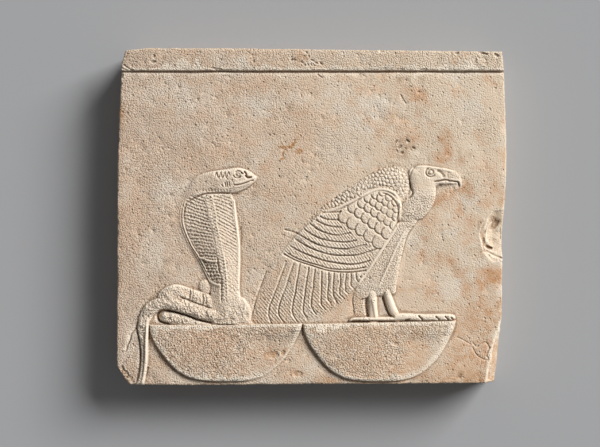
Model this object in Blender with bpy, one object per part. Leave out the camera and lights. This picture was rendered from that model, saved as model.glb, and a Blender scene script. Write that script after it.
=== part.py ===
import bmesh
import bpy
import numpy as np

# Sizes of the stone, in metres
PLAQUE_WIDTH = 0.1562
PLAQUE_HEIGHT = 0.1350
SLAB_THICKNESS = 0.0200
EDGE_ROUND = 0.0007

# The raised band along the top of the face
BAND_WIDTH = 0.0090
BAND_RISE = 0.0010
BAND_SLOPE = 0.0008
BAND_GROOVE_WIDTH = 0.0010
BAND_GROOVE_DEPTH = 0.0003

# The two baskets, which meet left of the middle and stop short of the bottom edge
BASKET_WIDTH = 0.0612
BASKET_DEPTH = 0.0229
BASKET_RISE = 0.00145
BASKET_CROWN = 0.0002
BASKET_WALL = 0.0007
BASKET_GAP = 0.0003
BASKETS_MEET_X = -0.0036
BOTTOM_MARGIN = 0.0015
RIM_CLIMB = 0.0018

# The two figures, by their height above the rim and by how far they stand out of the face
COBRA_HEIGHT = 0.0628
COBRA_RISE = 0.0036
VULTURE_HEIGHT = 0.0618
VULTURE_RISE = 0.0029

# Narrow forms of the carving: walls that slope, and grooves
HOOD_LEFT_WALL = 0.0005
HOOD_RIGHT_WALL = 0.0011
WING_WALL = 0.0005
FEATHER_GROOVE_DEPTH = 0.00030
WING_GROOVE_DEPTH = 0.00040

# The shape of each figure is drawn on a grid of this many steps over its height
COBRA_STEPS = 157
VULTURE_STEPS = 154.5

# Breaks along the right edge, by their reach in from the edge and their depth
UPPER_BREAK_LENGTH = 0.0220
UPPER_BREAK_REACH = 0.0076
UPPER_BREAK_DEPTH = 0.0024
UPPER_LEDGE_DEPTH = 0.0005
LONG_BREAK_LENGTH = 0.0262
LONG_BREAK_REACH = 0.0042
LONG_BREAK_DEPTH = 0.0070
BREAK_LUMPS = 0.0025
BREAK_WAVER = 0.0002

# The face is worked out on a fine raster, then reduced to this many triangles
RASTER = 0.0004
GRID_STEP = 0.0005
MARGIN = 0.0010
TRIANGLES = 9300

# Outline of the slab, as shares of half its height and half its width
LEFT_EDGE = [(-1.0, -0.93), (-0.95, -0.965), (-0.885, -1.0), (0.24, -0.996), (0.6, -0.988), (0.9, -0.973), (0.98, -0.955)]
RIGHT_EDGE = [(-1.0, 0.945), (-0.83, 0.96), (-0.56, 0.975), (-0.12, 0.979), (0.0, 0.984), (0.1, 0.992), (0.36, 1.0), (0.83, 0.988), (0.98, 0.976)]
TOP_EDGE = [(-0.96, 0.982), (-0.92, 0.991), (-0.84, 1.0), (-0.3, 0.998), (0.3, 0.988), (1.0, 0.98)]
BOTTOM_EDGE = [(-0.95, -0.996), (-0.6, -1.0), (0.0, -0.994), (0.6, -0.99), (0.95, -0.986)]

# Outline of a basket, as shares of half its width and of its depth
BASKET_CURVE = [(-1.0, -0.06), (-0.99, -0.14), (-0.945, -0.3), (-0.88, -0.44), (-0.78, -0.62), (-0.65, -0.8), (-0.52, -0.905), (-0.39, -0.965), (-0.2, -0.995), (0.0, -1.0), (0.2, -0.995), (0.36, -0.965), (0.52, -0.885), (0.65, -0.765), (0.77, -0.61), (0.87, -0.41), (0.94, -0.24), (0.98, -0.12), (1.0, -0.01)]

# The cobra, in steps right of its basket's middle and up from the rim
HOOD_LEFT = [(-16, 2), (-16, 32), (-16.6, 40), (-22.3, 53.3), (-30.6, 68.5), (-38, 80), (-45, 97), (-46.5, 108), (-45, 122)]
HOOD_RIGHT = [(25, 2), (21, 10), (14.2, 30), (13.7, 42), (14.5, 68), (13, 95), (9.5, 119), (5, 132)]
CREST_LEFT = [(-4, 2), (-4.5, 45), (-8.5, 65), (-14, 93), (-20, 121), (-22, 132)]
CREST_RIGHT = [(1, 2), (0.5, 45), (-5, 80), (-9.5, 100), (-15, 132)]
COBRA_HEAD = [(-44.5, 121), (-44.5, 129), (-38, 142.5), (-35, 147), (-25, 151.5), (-5, 154.5), (12, 157), (24, 153), (31, 147.5), (28, 141.5), (18.7, 135.5), (5, 131), (-18, 131.5), (-33, 127), (-40, 122)]
REAR_COIL = [(-67, 24), (-65.5, 33.6), (-55.2, 39.6), (-47, 40), (-32.5, 35.2), (-14, 28), (-14, 12), (-40, 14)]
BODY_FOOT = [(8, 27), (15, 28), (20, 24), (24, 13), (26, 4), (25, -2), (8, -2), (4, 12)]
UNDER_COIL = [(-32, -2), (-20, 6), (4, 8), (22, 5), (24, -2)]
LOW_COIL = [(-60, 7), (-46, 5), (-28, 2)]
MAIN_COIL = [(10, 7.5), (-6, 8.6), (-22, 11), (-38, 16.2), (-53, 20.6), (-62, 21.2), (-75.5, 15.5), (-82.7, 2), (-83.3, -6)]
TAIL = [(-82.7, 2), (-82.6, -14), (-81.6, -27), (-82.2, -41), (-86.5, -62)]

# The vulture, in steps right of its basket's middle and up from its soles
BACK = [(31, 122), (30, 139), (28, 147), (21, 153), (6, 153), (-14, 143.5), (-44, 123), (-67, 105), (-96, 73), (-112, 46), (-122, 15), (-128.5, -6)]
FEATHER_TIPS = [(-117, -6), (-82, -4), (-65, 1), (-44, 12), (-18, 38)]
WING_FRONT = [(-9, 52), (5, 72), (16, 93), (23, 112), (20, 121), (10, 129), (-5, 130), (-24, 120), (-42, 110.5), (-52, 109)]
WING_BACK = [(-60, 107), (-90, 78), (-112, 46), (-120, 20), (-127, -2)]
BODY = [(40, 98), (31, 87), (25.5, 73), (20.5, 53), (17, 34), (15.5, 26), (4, 24.5), (-11, 22.5), (-18, 20.5), (-26, 25), (-10, 60), (10, 90), (30, 103)]
FAR_THIGH = [(-26, 24), (-26, 12), (-24, 4), (-12, 3), (-11, 22)]
NECK = [(30, 150), (31.5, 130), (20, 112), (20, 98), (40, 100), (52, 112), (56.5, 126), (54, 146), (44, 152)]
VULTURE_SKULL = [(31, 140), (31, 147), (38, 154), (54, 153.3), (66, 151), (70, 147), (69, 140), (60, 135.5), (50, 130), (40, 130)]
VULTURE_BEAK = [(60, 151.5), (74, 149.2), (82, 143), (83.3, 136), (81.6, 131.2), (79.6, 134), (78.4, 136.2), (66, 135.3), (58, 138)]
NEAR_LEG = [(-5, 26), (-4, 10), (-3, -1)]
FAR_LEG = [(7.5, 28), (12.5, 12), (18, 2)]
NEAR_FOOT = [(-29, -0.2), (-24, 1.2), (0, 1), (16, 1)]
FAR_FOOT = [(12, 4), (20, 7), (45, 6), (70, 6.3), (76, 3), (70, -0.6), (30, -0.4), (14, -0.4)]

# Grooves that part the long tail feathers, each from the wing to its bent tip
FEATHERS = [(-93, 58, -110.8, 9, -107, -5), (-85, 58, -101, 9, -94, -5), (-79, 58, -87, 9, -81, -3), (-70.5, 54, -76.5, 10, -71, -1), (-64, 52, -68, 14, -62.5, 4.5), (-57.5, 50, -58.3, 17, -53, 9.5), (-50.5, 48.5, -51.5, 21.5, -47.5, 16.5), (-45.5, 48, -46, 24, -41.5, 17), (-39, 47.5, -39.3, 26.5, -34.5, 20.5), (-33.5, 47, -33.8, 29.5, -30, 25.5), (-28.5, 47, -28, 34, -23.5, 30.5)]
WING_LINES = [[(-97, 67), (-80, 58.5), (-60, 52), (-44, 48.5), (-24, 48), (-10, 50)], [(-90.5, 75), (-68, 64), (-45, 57.5), (-24, 56), (-7, 60)], [(-85, 81.5), (-65, 70.5), (-44, 64.7), (-20, 65.5), (-2, 71)], [(-81, 86), (-60, 75), (-38, 71.3), (-12, 75.5)], [(-76, 91.5), (-60, 82), (-38, 78), (-22, 80)], [(-70, 97), (-53, 87), (-40, 84.8), (-28, 88)]]


# The raster of the face: x across, y up and the height of each point over the plain field
xs = np.arange(-PLAQUE_WIDTH / 2 - MARGIN, PLAQUE_WIDTH / 2 + MARGIN, RASTER)
ys = np.arange(-PLAQUE_HEIGHT / 2 - MARGIN, PLAQUE_HEIGHT / 2 + MARGIN, RASTER)
face = np.zeros((len(ys), len(xs)))


def soft_step(t):
    t = np.clip(t, 0, 1)
    return t * t * (3 - 2 * t)


def quarter_round(distance, reach):
    t = np.clip(distance / reach, 0, 1)
    return np.sqrt(1 - (1 - t) ** 2)


def noise(x, y, size, seed):
    """Smooth unevenness between -1 and 1, with lumps of this size."""
    table = np.random.RandomState(seed).rand(64, 64) * 2 - 1
    u = x / size + 1000.0
    v = y / size + 1000.0
    i = np.floor(u).astype(int)
    j = np.floor(v).astype(int)
    across = soft_step(u - i)
    up = soft_step(v - j)
    low = table[j % 64, i % 64] * (1 - across) + table[j % 64, (i + 1) % 64] * across
    high = table[(j + 1) % 64, i % 64] * (1 - across) + table[(j + 1) % 64, (i + 1) % 64] * across
    return low * (1 - up) + high * up


def curve(points, closed=False, spans=4):
    """A smooth line through the points."""
    points = np.asarray(points, float)
    if closed:
        held = np.vstack([points[-1], points, points[:2]])
    else:
        held = np.vstack([2 * points[0] - points[1], points, 2 * points[-1] - points[-2]])
    t = (np.arange(spans) / spans)[:, None]
    pieces = []
    for a, b, c, d in zip(held, held[1:], held[2:], held[3:]):
        pieces.append(0.5 * (2 * b + (c - a) * t + (2 * a - 5 * b + 4 * c - d) * t**2 + (3 * b - a - 3 * c + d) * t**3))
    if not closed:
        pieces.append(held[-2][None])
    return np.vstack(pieces)


def place(origin, points):
    """Points in steps of a figure's grid, put on the face in metres."""
    return np.asarray(points, float) * origin[2] + np.array(origin[:2])


def window(line, reach):
    """The part of the raster that lies within this reach of the line."""
    low = line.min(axis=0) - reach
    high = line.max(axis=0) + reach
    columns = np.searchsorted(xs, [low[0], high[0]])
    rows = np.searchsorted(ys, [low[1], high[1]])
    return slice(*rows), slice(*columns)


def spread(area):
    return xs[area[1]][None, :], ys[area[0]][:, None]


def steps(origin, area):
    """The raster points of an area in steps of a figure's grid."""
    x, y = spread(area)
    return (x - origin[0]) / origin[2] + 0 * y, (y - origin[1]) / origin[2] + 0 * x


def along(line, area):
    """Distance of each raster point from the line, and how far along the line it lies from 0 to 1."""
    x, y = spread(area)
    lengths = np.hypot(*np.diff(line, axis=0).T)
    nearest = np.full((y.size, x.size), 1e9)
    share = np.zeros_like(nearest)
    done = 0.0
    for start, end, length in zip(line[:-1], line[1:], lengths):
        step = (end - start) / length
        t = np.clip((x - start[0]) * step[0] + (y - start[1]) * step[1], 0, length)
        away = (x - start[0] - t * step[0]) ** 2 + (y - start[1] - t * step[1]) ** 2
        share = np.where(away < nearest, (done + t) / lengths.sum(), share)
        nearest = np.minimum(away, nearest)
        done += length
    return np.sqrt(nearest), share


def depth_inside(line, area):
    """Distance in from a closed outline, negative outside it."""
    x, y = spread(area)
    away, _ = along(np.vstack([line, line[:1]]), area)
    within = np.zeros(away.shape, bool)
    for a, b in zip(line, np.roll(line, -1, axis=0)):
        if a[1] != b[1]:
            beside = x < a[0] + (y - a[1]) * (b[0] - a[0]) / (b[1] - a[1])
            within ^= (y > min(a[1], b[1])) & (y <= max(a[1], b[1])) & beside
    return np.where(within, away, -away)


def raise_shape(origin, points, rise, rounding, low_share=0.0):
    """Stand a closed outline out of the face, its edge rounded over. The rise may change from left to right."""
    line = place(origin, curve(points, True))
    area = window(line, MARGIN)
    depth = depth_inside(line, area)
    x, _ = steps(origin, area)
    table = np.array(rise if isinstance(rise, list) else [(0, rise)], float)
    high = np.interp(x, table[:, 0], table[:, 1])
    height = high * (low_share + (1 - low_share) * quarter_round(depth, rounding * origin[2]))
    face[area] = np.where(depth > 0, np.maximum(face[area], height), face[area])


def raise_cord(origin, points, half_widths, rises):
    """Stand a round cord out of the face, its width and height changing along it."""
    line = place(origin, curve(points))
    area = window(line, max(half_widths) * origin[2])
    away, share = along(line, area)
    half = np.interp(share, np.linspace(0, 1, len(half_widths)), half_widths) * origin[2]
    rise = np.interp(share, np.linspace(0, 1, len(rises)), rises)
    height = rise * np.sqrt(np.clip(1 - (away / half) ** 2, 0, 1))
    face[area] = np.maximum(face[area], height)


def cut_groove(line, width, depth):
    """Cut a rounded groove that fades out at both ends."""
    area = window(line, width)
    away, share = along(line, area)
    fade = soft_step(share / 0.1) * soft_step((1 - share) / 0.1)
    face[area] -= depth * fade * np.clip(1 - (2 * away / width) ** 2, 0, 1)


def width_at(line, y):
    line = curve(line)
    return np.interp(y, line[:, 1], line[:, 0])


def edge_at(table, along_edge, half_along, half_across):
    table = np.asarray(table, float)
    return np.interp(along_edge, table[:, 0] * half_along, table[:, 1] * half_across)


def slab_sides(x, y):
    """The left, right, bottom and top limits of the slab at these points."""
    half_x = PLAQUE_WIDTH / 2
    half_y = PLAQUE_HEIGHT / 2
    left = edge_at(LEFT_EDGE, y, half_y, half_x)
    right = edge_at(RIGHT_EDGE, y, half_y, half_x)
    bottom = edge_at(BOTTOM_EDGE, x, half_x, half_y)
    top = edge_at(TOP_EDGE, x, half_x, half_y)
    return left, right, bottom, top


def carve_band():
    """A flat band along the top of the face, its lower edge sloping down to a thin groove."""
    x, y = xs[None, :], ys[:, None]
    above = y - PLAQUE_HEIGHT / 2 + BAND_WIDTH + 0 * x
    face[:] += BAND_RISE * np.clip(above / BAND_SLOPE, 0, 1)
    face[:] -= BAND_GROOVE_DEPTH * np.exp(-((above / BAND_GROOVE_WIDTH + 0.5) ** 2) * 4)


def carve_basket(origin, left_rim, right_rim):
    """A bowl seen from the side, standing flat out of the face, lower on its right."""
    scale = np.array([BASKET_WIDTH / 2, BASKET_DEPTH])
    line = curve(BASKET_CURVE) * scale
    line[:, 1] += np.interp(line[:, 0], [-scale[0], scale[0]], [left_rim, right_rim]) * (1 + line[:, 1] / scale[1])
    rim = [[scale[0], right_rim], [-scale[0], left_rim]]
    line = np.vstack([line, rim]) + np.array(origin[:2])
    area = window(line, MARGIN)
    depth = depth_inside(line, area)
    x, y = spread(area)
    across = (x - origin[0]) / scale[0]
    drop = (origin[1] - y) / scale[1]
    right_edge = soft_step((across + 0.1) / 0.7) * soft_step((drop - 0.05) / 0.3)
    rise = BASKET_RISE * (1 - 0.6 * right_edge)
    crown = BASKET_CROWN * soft_step(2 * depth / BASKET_DEPTH)
    face[area] = np.maximum(face[area], (rise + crown) * soft_step(depth / BASKET_WALL))


def carve_hood(origin):
    """The spread hood and the neck, ridged along the middle."""
    area = window(place(origin, [(-50, 0), (30, 134)]), MARGIN)
    x, y = steps(origin, area)
    left = width_at(HOOD_LEFT, y)
    right = width_at(HOOD_RIGHT, y)
    crest_left = width_at(CREST_LEFT, y)
    crest_right = width_at(CREST_RIGHT, y)
    left_rise = COBRA_RISE * np.interp(y, [2, 30, 60, 130], [0.3, 0.25, 0.11, 0.09])
    crest_rise = COBRA_RISE * np.interp(y, [2, 20, 50, 90, 110, 121, 131], [0.5, 0.6, 0.72, 0.82, 0.66, 0.46, 0.34])
    right_rise = COBRA_RISE * np.interp(y, [2, 20, 60, 110, 130], [0.22, 0.28, 0.22, 0.18, 0.16])
    from_left = np.clip((x - left) / (crest_left - left), 0, 1)
    from_right = np.clip((right - x) / (right - crest_right), 0, 1)
    left_side = left_rise + (crest_rise - left_rise) * from_left
    right_side = right_rise + (crest_rise - right_rise) * from_right**0.8
    wall = quarter_round((x - left) * origin[2], HOOD_LEFT_WALL) * quarter_round((right - x) * origin[2], HOOD_RIGHT_WALL)
    within = (x > left) & (x < right) & (y > 1) & (y < 133)
    height = np.minimum(left_side, right_side) * wall
    face[area] = np.where(within, np.maximum(face[area], height), face[area])


def carve_cobra(origin):
    """The coils, the hood, the tail and the head, from the ground up."""
    high = COBRA_RISE
    raise_shape(origin, REAR_COIL, 0.42 * high, 7)
    carve_hood(origin)
    raise_shape(origin, BODY_FOOT, 0.4 * high, 9, 0.2)
    raise_shape(origin, UNDER_COIL, 0.2 * high, 3, 0.5)
    raise_cord(origin, LOW_COIL, [6, 5.5, 3], np.array([0.42, 0.4, 0.3]) * high)
    raise_cord(origin, MAIN_COIL, [7.4, 7, 7.6, 7.4, 7.2, 6.4, 5.6], np.array([0.42, 0.58, 0.72, 0.74, 0.68, 0.5, 0.38]) * high)
    raise_cord(origin, TAIL, [6.2, 4.8, 4.2, 4.4], np.array([0.42, 0.32, 0.26, 0.24]) * high)
    head = [(-45, 0.08 * high), (-30, 0.24 * high), (-8, 0.42 * high), (10, 0.44 * high), (31, 0.34 * high)]
    raise_shape(origin, COBRA_HEAD, head, 7, 0.1)


def carve_wing_mass(outline, rises, rounding, low_share):
    """A closed outline that stands lower towards the tips of the long feathers."""
    area = window(outline, MARGIN)
    depth = depth_inside(outline, area)
    x, y = steps(vulture_origin, area)
    rise = VULTURE_RISE * np.interp(0.55 * x + 0.83 * y, [-70, -35, 0, 30, 60, 110, 130], rises)
    height = rise * (low_share + (1 - low_share) * soft_step(depth / rounding) ** 0.7) * soft_step(depth / WING_WALL)
    face[area] = np.where(depth > 0, np.maximum(face[area], height), face[area])


def carve_vulture(origin):
    """The back, the body, the neck and head, the wing over them, and the legs and feet."""
    step = origin[2]
    high = VULTURE_RISE
    back = np.vstack([curve(BACK), curve(FEATHER_TIPS + WING_FRONT[:4])])
    carve_wing_mass(place(origin, back), [0.0, 0.02, 0.06, 0.16, 0.3, 0.5, 0.52], 12 * step, 0.1)
    raise_shape(origin, FAR_THIGH, 0.08 * high, 3)
    raise_shape(origin, BODY, [(-26, 0.1 * high), (-6, 0.28 * high), (20, 0.4 * high)], 5, 0.15)
    raise_shape(origin, NECK, 0.42 * high, 9, 0.1)
    raise_shape(origin, VULTURE_BEAK, [(62, 0.38 * high), (74, 0.24 * high), (83, 0.14 * high)], 4, 0.2)
    raise_shape(origin, VULTURE_SKULL, [(31, 0.24 * high), (45, 0.44 * high), (70, 0.42 * high)], 7, 0.12)
    wing = np.vstack([curve(WING_FRONT), curve(WING_BACK), curve(FEATHER_TIPS)])
    carve_wing_mass(place(origin, wing), [0.02, 0.05, 0.13, 0.28, 0.46, 0.66, 0.68], 3 * step, 0.4)
    raise_cord(origin, NEAR_LEG, [6.2, 5.8, 6.2], np.array([0.4, 0.42, 0.36]) * high)
    raise_cord(origin, FAR_LEG, [4.4, 5.2, 4.6], np.array([0.5, 0.54, 0.44]) * high)
    raise_cord(origin, NEAR_FOOT, [1.2, 2, 2.2, 2.2], np.array([0.5, 0.6, 0.6, 0.6]) * high)
    raise_shape(origin, FAR_FOOT, 0.62 * high, 2.8, 0.2)
    for top_x, top_y, bend_x, bend_y, tip_x, tip_y in FEATHERS:
        line = curve([(top_x, top_y), ((top_x + bend_x) / 2, (top_y + bend_y) / 2), (bend_x, bend_y), (tip_x, tip_y)])
        cut_groove(place(origin, line), 2.4 * step, FEATHER_GROOVE_DEPTH)
    for line in WING_LINES:
        cut_groove(place(origin, curve(line)), 2.2 * step, WING_GROOVE_DEPTH)


def carve_breaks():
    """Lost stone along the right edge: a shell-shaped scoop above, and a long slant below."""
    x, y = xs[None, :], ys[:, None]
    _, right, _, _ = slab_sides(x, y)
    from_edge = (right - x) / UPPER_BREAK_REACH
    from_middle = (y + 0.05 * PLAQUE_HEIGHT) / UPPER_BREAK_LENGTH
    waver = 0.14 * noise(x, y, BREAK_LUMPS, 31)
    ledge = 1 - ((from_middle + 0.03) / 0.5) ** 2 - ((from_edge - 0.32) / 0.87) ** 2 + waver
    scoop = 1 - (from_middle / 0.42) ** 2 - ((from_edge - 0.45) / 0.52) ** 2 + waver
    face[:] -= UPPER_LEDGE_DEPTH * np.clip(5 * ledge, 0, 1)
    face[:] -= UPPER_BREAK_DEPTH * np.clip(scoop, 0, 1) ** 0.8
    rising = np.clip((y + PLAQUE_HEIGHT / 2) / LONG_BREAK_LENGTH, 0, 1)
    reach = LONG_BREAK_REACH * (1 - rising**2.2) + BREAK_WAVER * noise(x * 0, y, BREAK_LUMPS, 32)
    slant = (reach - right + x) / LONG_BREAK_REACH
    face[:] = np.where((slant > 0) & (rising < 1), np.minimum(face, -LONG_BREAK_DEPTH * slant), face)


def sample(x, y):
    """Height of the face at these points, read between the raster points."""
    u = np.clip((x - xs[0]) / RASTER, 0, len(xs) - 1.001)
    v = np.clip((y - ys[0]) / RASTER, 0, len(ys) - 1.001)
    i = u.astype(int)
    j = v.astype(int)
    low = face[j, i] * (1 - u + i) + face[j, i + 1] * (u - i)
    high = face[j + 1, i] * (1 - u + i) + face[j + 1, i + 1] * (u - i)
    return low * (1 - v + j) + high * (v - j)


def on_slab(u, v):
    """Points from 0 to 1 across and up, moved to fill the slab's uneven outline."""
    x = (u - 0.5) * PLAQUE_WIDTH
    y = (v - 0.5) * PLAQUE_HEIGHT
    for _ in range(4):
        left, right, bottom, top = slab_sides(x, y)
        x = left + (right - left) * u
        y = bottom + (top - bottom) * v
    return x, y


def edge_rounding(x, y):
    """How far the rounded arris drops below the face near the slab's edge."""
    left, right, bottom, top = slab_sides(x, y)
    inward = np.minimum(np.minimum(x - left, right - x), np.minimum(y - bottom, top - y))
    return EDGE_ROUND * (1 - quarter_round(np.maximum(inward, 0), EDGE_ROUND))


def build_plaque():
    """A fine grid for the face, drawn down at its border and closed with a flat back."""
    across = round(PLAQUE_WIDTH / GRID_STEP)
    up = round(PLAQUE_HEIGHT / GRID_STEP)
    shape = bmesh.new()
    bmesh.ops.create_grid(shape, x_segments=across, y_segments=up, size=0.5)
    face_points = len(shape.verts)
    border = [edge for edge in shape.edges if edge.is_boundary]
    levels = [0.5, 0.0]
    for _ in levels:
        drawn = bmesh.ops.extrude_edge_only(shape, edges=border)["geom"]
        border = [item for item in drawn if isinstance(item, bmesh.types.BMEdge) and item.is_boundary]
    bmesh.ops.holes_fill(shape, edges=border)
    mesh = bpy.data.meshes.new("plaque")
    shape.to_mesh(mesh)
    shape.free()
    points = np.empty(len(mesh.vertices) * 3)
    mesh.vertices.foreach_get("co", points)
    points = points.reshape(-1, 3)
    x, y = on_slab(points[:, 0] + 0.5, points[:, 1] + 0.5)
    z = SLAB_THICKNESS + sample(x, y) - edge_rounding(x, y)
    per_level = (len(points) - face_points) // len(levels)
    for number, level in enumerate(levels):
        ring = slice(face_points + number * per_level, face_points + (number + 1) * per_level)
        z[ring] *= level
    mesh.vertices.foreach_set("co", np.column_stack([x, y, z]).ravel())
    mesh.update()
    return mesh


for thing in list(bpy.data.objects):
    bpy.data.objects.remove(thing)

rim_y = -PLAQUE_HEIGHT / 2 + BOTTOM_MARGIN + BASKET_DEPTH
cobra_origin = (BASKETS_MEET_X - BASKET_WIDTH / 2, rim_y, COBRA_HEIGHT / COBRA_STEPS)
vulture_origin = (BASKETS_MEET_X + BASKET_WIDTH / 2, rim_y + RIM_CLIMB, VULTURE_HEIGHT / VULTURE_STEPS)

carve_band()
carve_basket((cobra_origin[0] - BASKET_GAP / 2, rim_y), 0, 0.3 * RIM_CLIMB)
carve_basket((vulture_origin[0] + BASKET_GAP / 2, rim_y), 0.2 * RIM_CLIMB, RIM_CLIMB)
carve_cobra(cobra_origin)
carve_vulture(vulture_origin)
carve_breaks()

limestone = bpy.data.materials.new("limestone")
limestone.use_nodes = True
shader = limestone.node_tree.nodes["Principled BSDF"]
shader.inputs["Base Color"].default_value = (0.57, 0.45, 0.33, 1.0)
shader.inputs["Roughness"].default_value = 0.9

plaque = bpy.data.objects.new("plaque", build_plaque())
plaque.data.materials.append(limestone)
collection = bpy.data.collections.new("carved relief plaque")
bpy.context.scene.collection.children.link(collection)
collection.objects.link(plaque)

# Flat stretches need few triangles, so most of them go to the carving
reduce = plaque.modifiers.new("fewer triangles", "DECIMATE")
reduce.decimate_type = "COLLAPSE"
reduce.ratio = TRIANGLES / sum(len(polygon.vertices) - 2 for polygon in plaque.data.polygons)
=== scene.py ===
import math

import bmesh
import bpy
import numpy as np
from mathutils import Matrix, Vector


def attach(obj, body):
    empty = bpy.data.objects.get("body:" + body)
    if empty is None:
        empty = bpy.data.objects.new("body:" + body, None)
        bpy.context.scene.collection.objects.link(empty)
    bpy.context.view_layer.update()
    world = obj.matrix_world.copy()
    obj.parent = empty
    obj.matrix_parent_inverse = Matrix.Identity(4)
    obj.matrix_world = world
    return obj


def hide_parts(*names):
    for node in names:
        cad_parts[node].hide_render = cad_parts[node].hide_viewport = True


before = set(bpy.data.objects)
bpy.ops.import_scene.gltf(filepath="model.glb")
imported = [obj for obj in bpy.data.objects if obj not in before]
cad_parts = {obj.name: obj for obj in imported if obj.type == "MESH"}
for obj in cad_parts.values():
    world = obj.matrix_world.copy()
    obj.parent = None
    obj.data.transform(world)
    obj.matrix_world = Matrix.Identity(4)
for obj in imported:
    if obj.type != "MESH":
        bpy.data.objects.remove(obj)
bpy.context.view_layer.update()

# Sizes of the stone, in metres
PLAQUE_WIDTH = 0.1562
PLAQUE_HEIGHT = 0.1350
SLAB_THICKNESS = 0.0200
EDGE_ROUND = 0.0007
EDGE_FRAY = 0.00035
SIDE_ROUGHNESS = 0.0007
BACK_ROUGHNESS = 0.0005

# The raised band along the top of the face
BAND_WIDTH = 0.0090
BAND_RISE = 0.0010

# The two baskets
BASKET_WIDTH = 0.0612
BASKET_DEPTH = 0.0229
BASKET_RISE = 0.00145
BASKETS_MEET_X = -0.0036
BOTTOM_MARGIN = 0.0015
RIM_CLIMB = 0.0018

# The two figures
COBRA_HEIGHT = 0.0628
COBRA_RISE = 0.0036
VULTURE_HEIGHT = 0.0618
VULTURE_RISE = 0.0029
COBRA_STEPS = 157
VULTURE_STEPS = 154.5
SLAB_STEP = 0.0004

# The ground is cut away a little more round the figures
GROUND_DIP = 0.00025
DIP_REACH = 0.0030

# Breaks along the right edge
UPPER_BREAK_LENGTH = 0.0220
UPPER_BREAK_REACH = 0.0076
UPPER_BREAK_DEPTH = 0.0024
UPPER_LEDGE_DEPTH = 0.0005
LONG_BREAK_LENGTH = 0.0262
LONG_BREAK_REACH = 0.0042
LONG_BREAK_DEPTH = 0.0070

# The face is worked out on a raster a little larger than it, and cut down to this many triangles
RASTER = 0.0002
MARGIN = 0.0010
TRIANGLES = 195000
FINE_WEIGHT = 0.00012

# Unevenness comes from a table with this many values each way; a pit is tried at this many places
NOISE_CELLS = 64
PIT_TRIES = 4000
PIT_CLUSTERS = 60

# Outline of the slab, as shares of half its height and half its width
LEFT_EDGE = [
    (-1, -0.93), (-0.95, -0.965), (-0.885, -1), (0.24, -0.996), (0.6, -0.988), (0.9, -0.973),
    (0.98, -0.955),
]
RIGHT_EDGE = [
    (-1, 0.945), (-0.83, 0.96), (-0.56, 0.975), (-0.12, 0.979), (0, 0.984), (0.1, 0.992), (0.36, 1),
    (0.83, 0.988), (0.98, 0.976),
]
TOP_EDGE = [(-0.96, 0.982), (-0.92, 0.991), (-0.84, 1), (-0.3, 0.998), (0.3, 0.988), (1, 0.98)]
BOTTOM_EDGE = [(-0.95, -0.996), (-0.6, -1), (0, -0.994), (0.6, -0.99), (0.95, -0.986)]

# Outline of a basket, as shares of half its width and of its depth
BASKET_CURVE = [
    (-1, -0.06), (-0.99, -0.14), (-0.945, -0.3), (-0.88, -0.44), (-0.78, -0.62), (-0.65, -0.8),
    (-0.52, -0.905), (-0.39, -0.965), (-0.2, -0.995), (0, -1), (0.2, -0.995), (0.36, -0.965),
    (0.52, -0.885), (0.65, -0.765), (0.77, -0.61), (0.87, -0.41), (0.94, -0.24), (0.98, -0.12),
    (1, -0.01),
]

# The cobra, in steps right of its basket's middle and up from the rim
HOOD_LEFT = [
    (-16, 2), (-16, 32), (-16.6, 40), (-22.3, 53.3), (-30.6, 68.5), (-38, 80), (-45, 97), (-46.5, 108),
    (-44.8, 120), (-41, 130), (-39, 134),
]
HOOD_RIGHT = [(25, 2), (21, 10), (14.2, 30), (13.7, 42), (14.5, 68), (13, 95), (9.5, 119), (5, 132)]
CREST_LEFT = [(-4, 2), (-4.5, 45), (-8.5, 65), (-14, 93), (-20, 121), (-22, 132)]
CREST_RIGHT = [(1, 2), (0.5, 45), (-5, 80), (-9.5, 100), (-15, 132)]
COBRA_HEAD = [
    (-44.5, 119), (-43, 126), (-40.3, 132), (-37.5, 138), (-34.5, 143.5), (-30, 148), (-23, 151.3),
    (-14, 153.4), (0, 155.3), (12, 157), (22.5, 153.8), (28.6, 149.6), (30.8, 147.5), (29.4, 144),
    (26, 140.5), (18.7, 135.7), (5, 131), (-18, 131.5), (-33, 127), (-40, 122),
]
REAR_COIL = [
    (-67, 24), (-65.5, 33.6), (-55.2, 39.6), (-47, 40), (-32.5, 35.2), (-14, 28), (-14, 12), (-40, 14),
]
BODY_FOOT = [(8, 27), (15, 28), (20, 25), (24.5, 17), (25.5, 8), (22, -2), (8, -2), (4, 12)]
UNDER_COIL = [(-32, -2), (-20, 6), (4, 8), (22, 5), (24, -2)]
NECK_LUMP = [(-27, 35), (-26.5, 42), (-21.5, 45), (-17, 42), (-15, 34), (-20, 30)]
LOW_COIL = [(-60, 7), (-46, 5), (-28, 2)]
MAIN_COIL = [
    (10, 7.5), (-6, 8.6), (-22, 11), (-38, 16.2), (-53, 20.6), (-62, 21.2), (-75.5, 15.5), (-82.7, 2),
    (-83.3, -6),
]
TAIL = [(-82.7, 2), (-82.6, -14), (-81.6, -27), (-82.2, -41), (-86.5, -62)]

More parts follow.
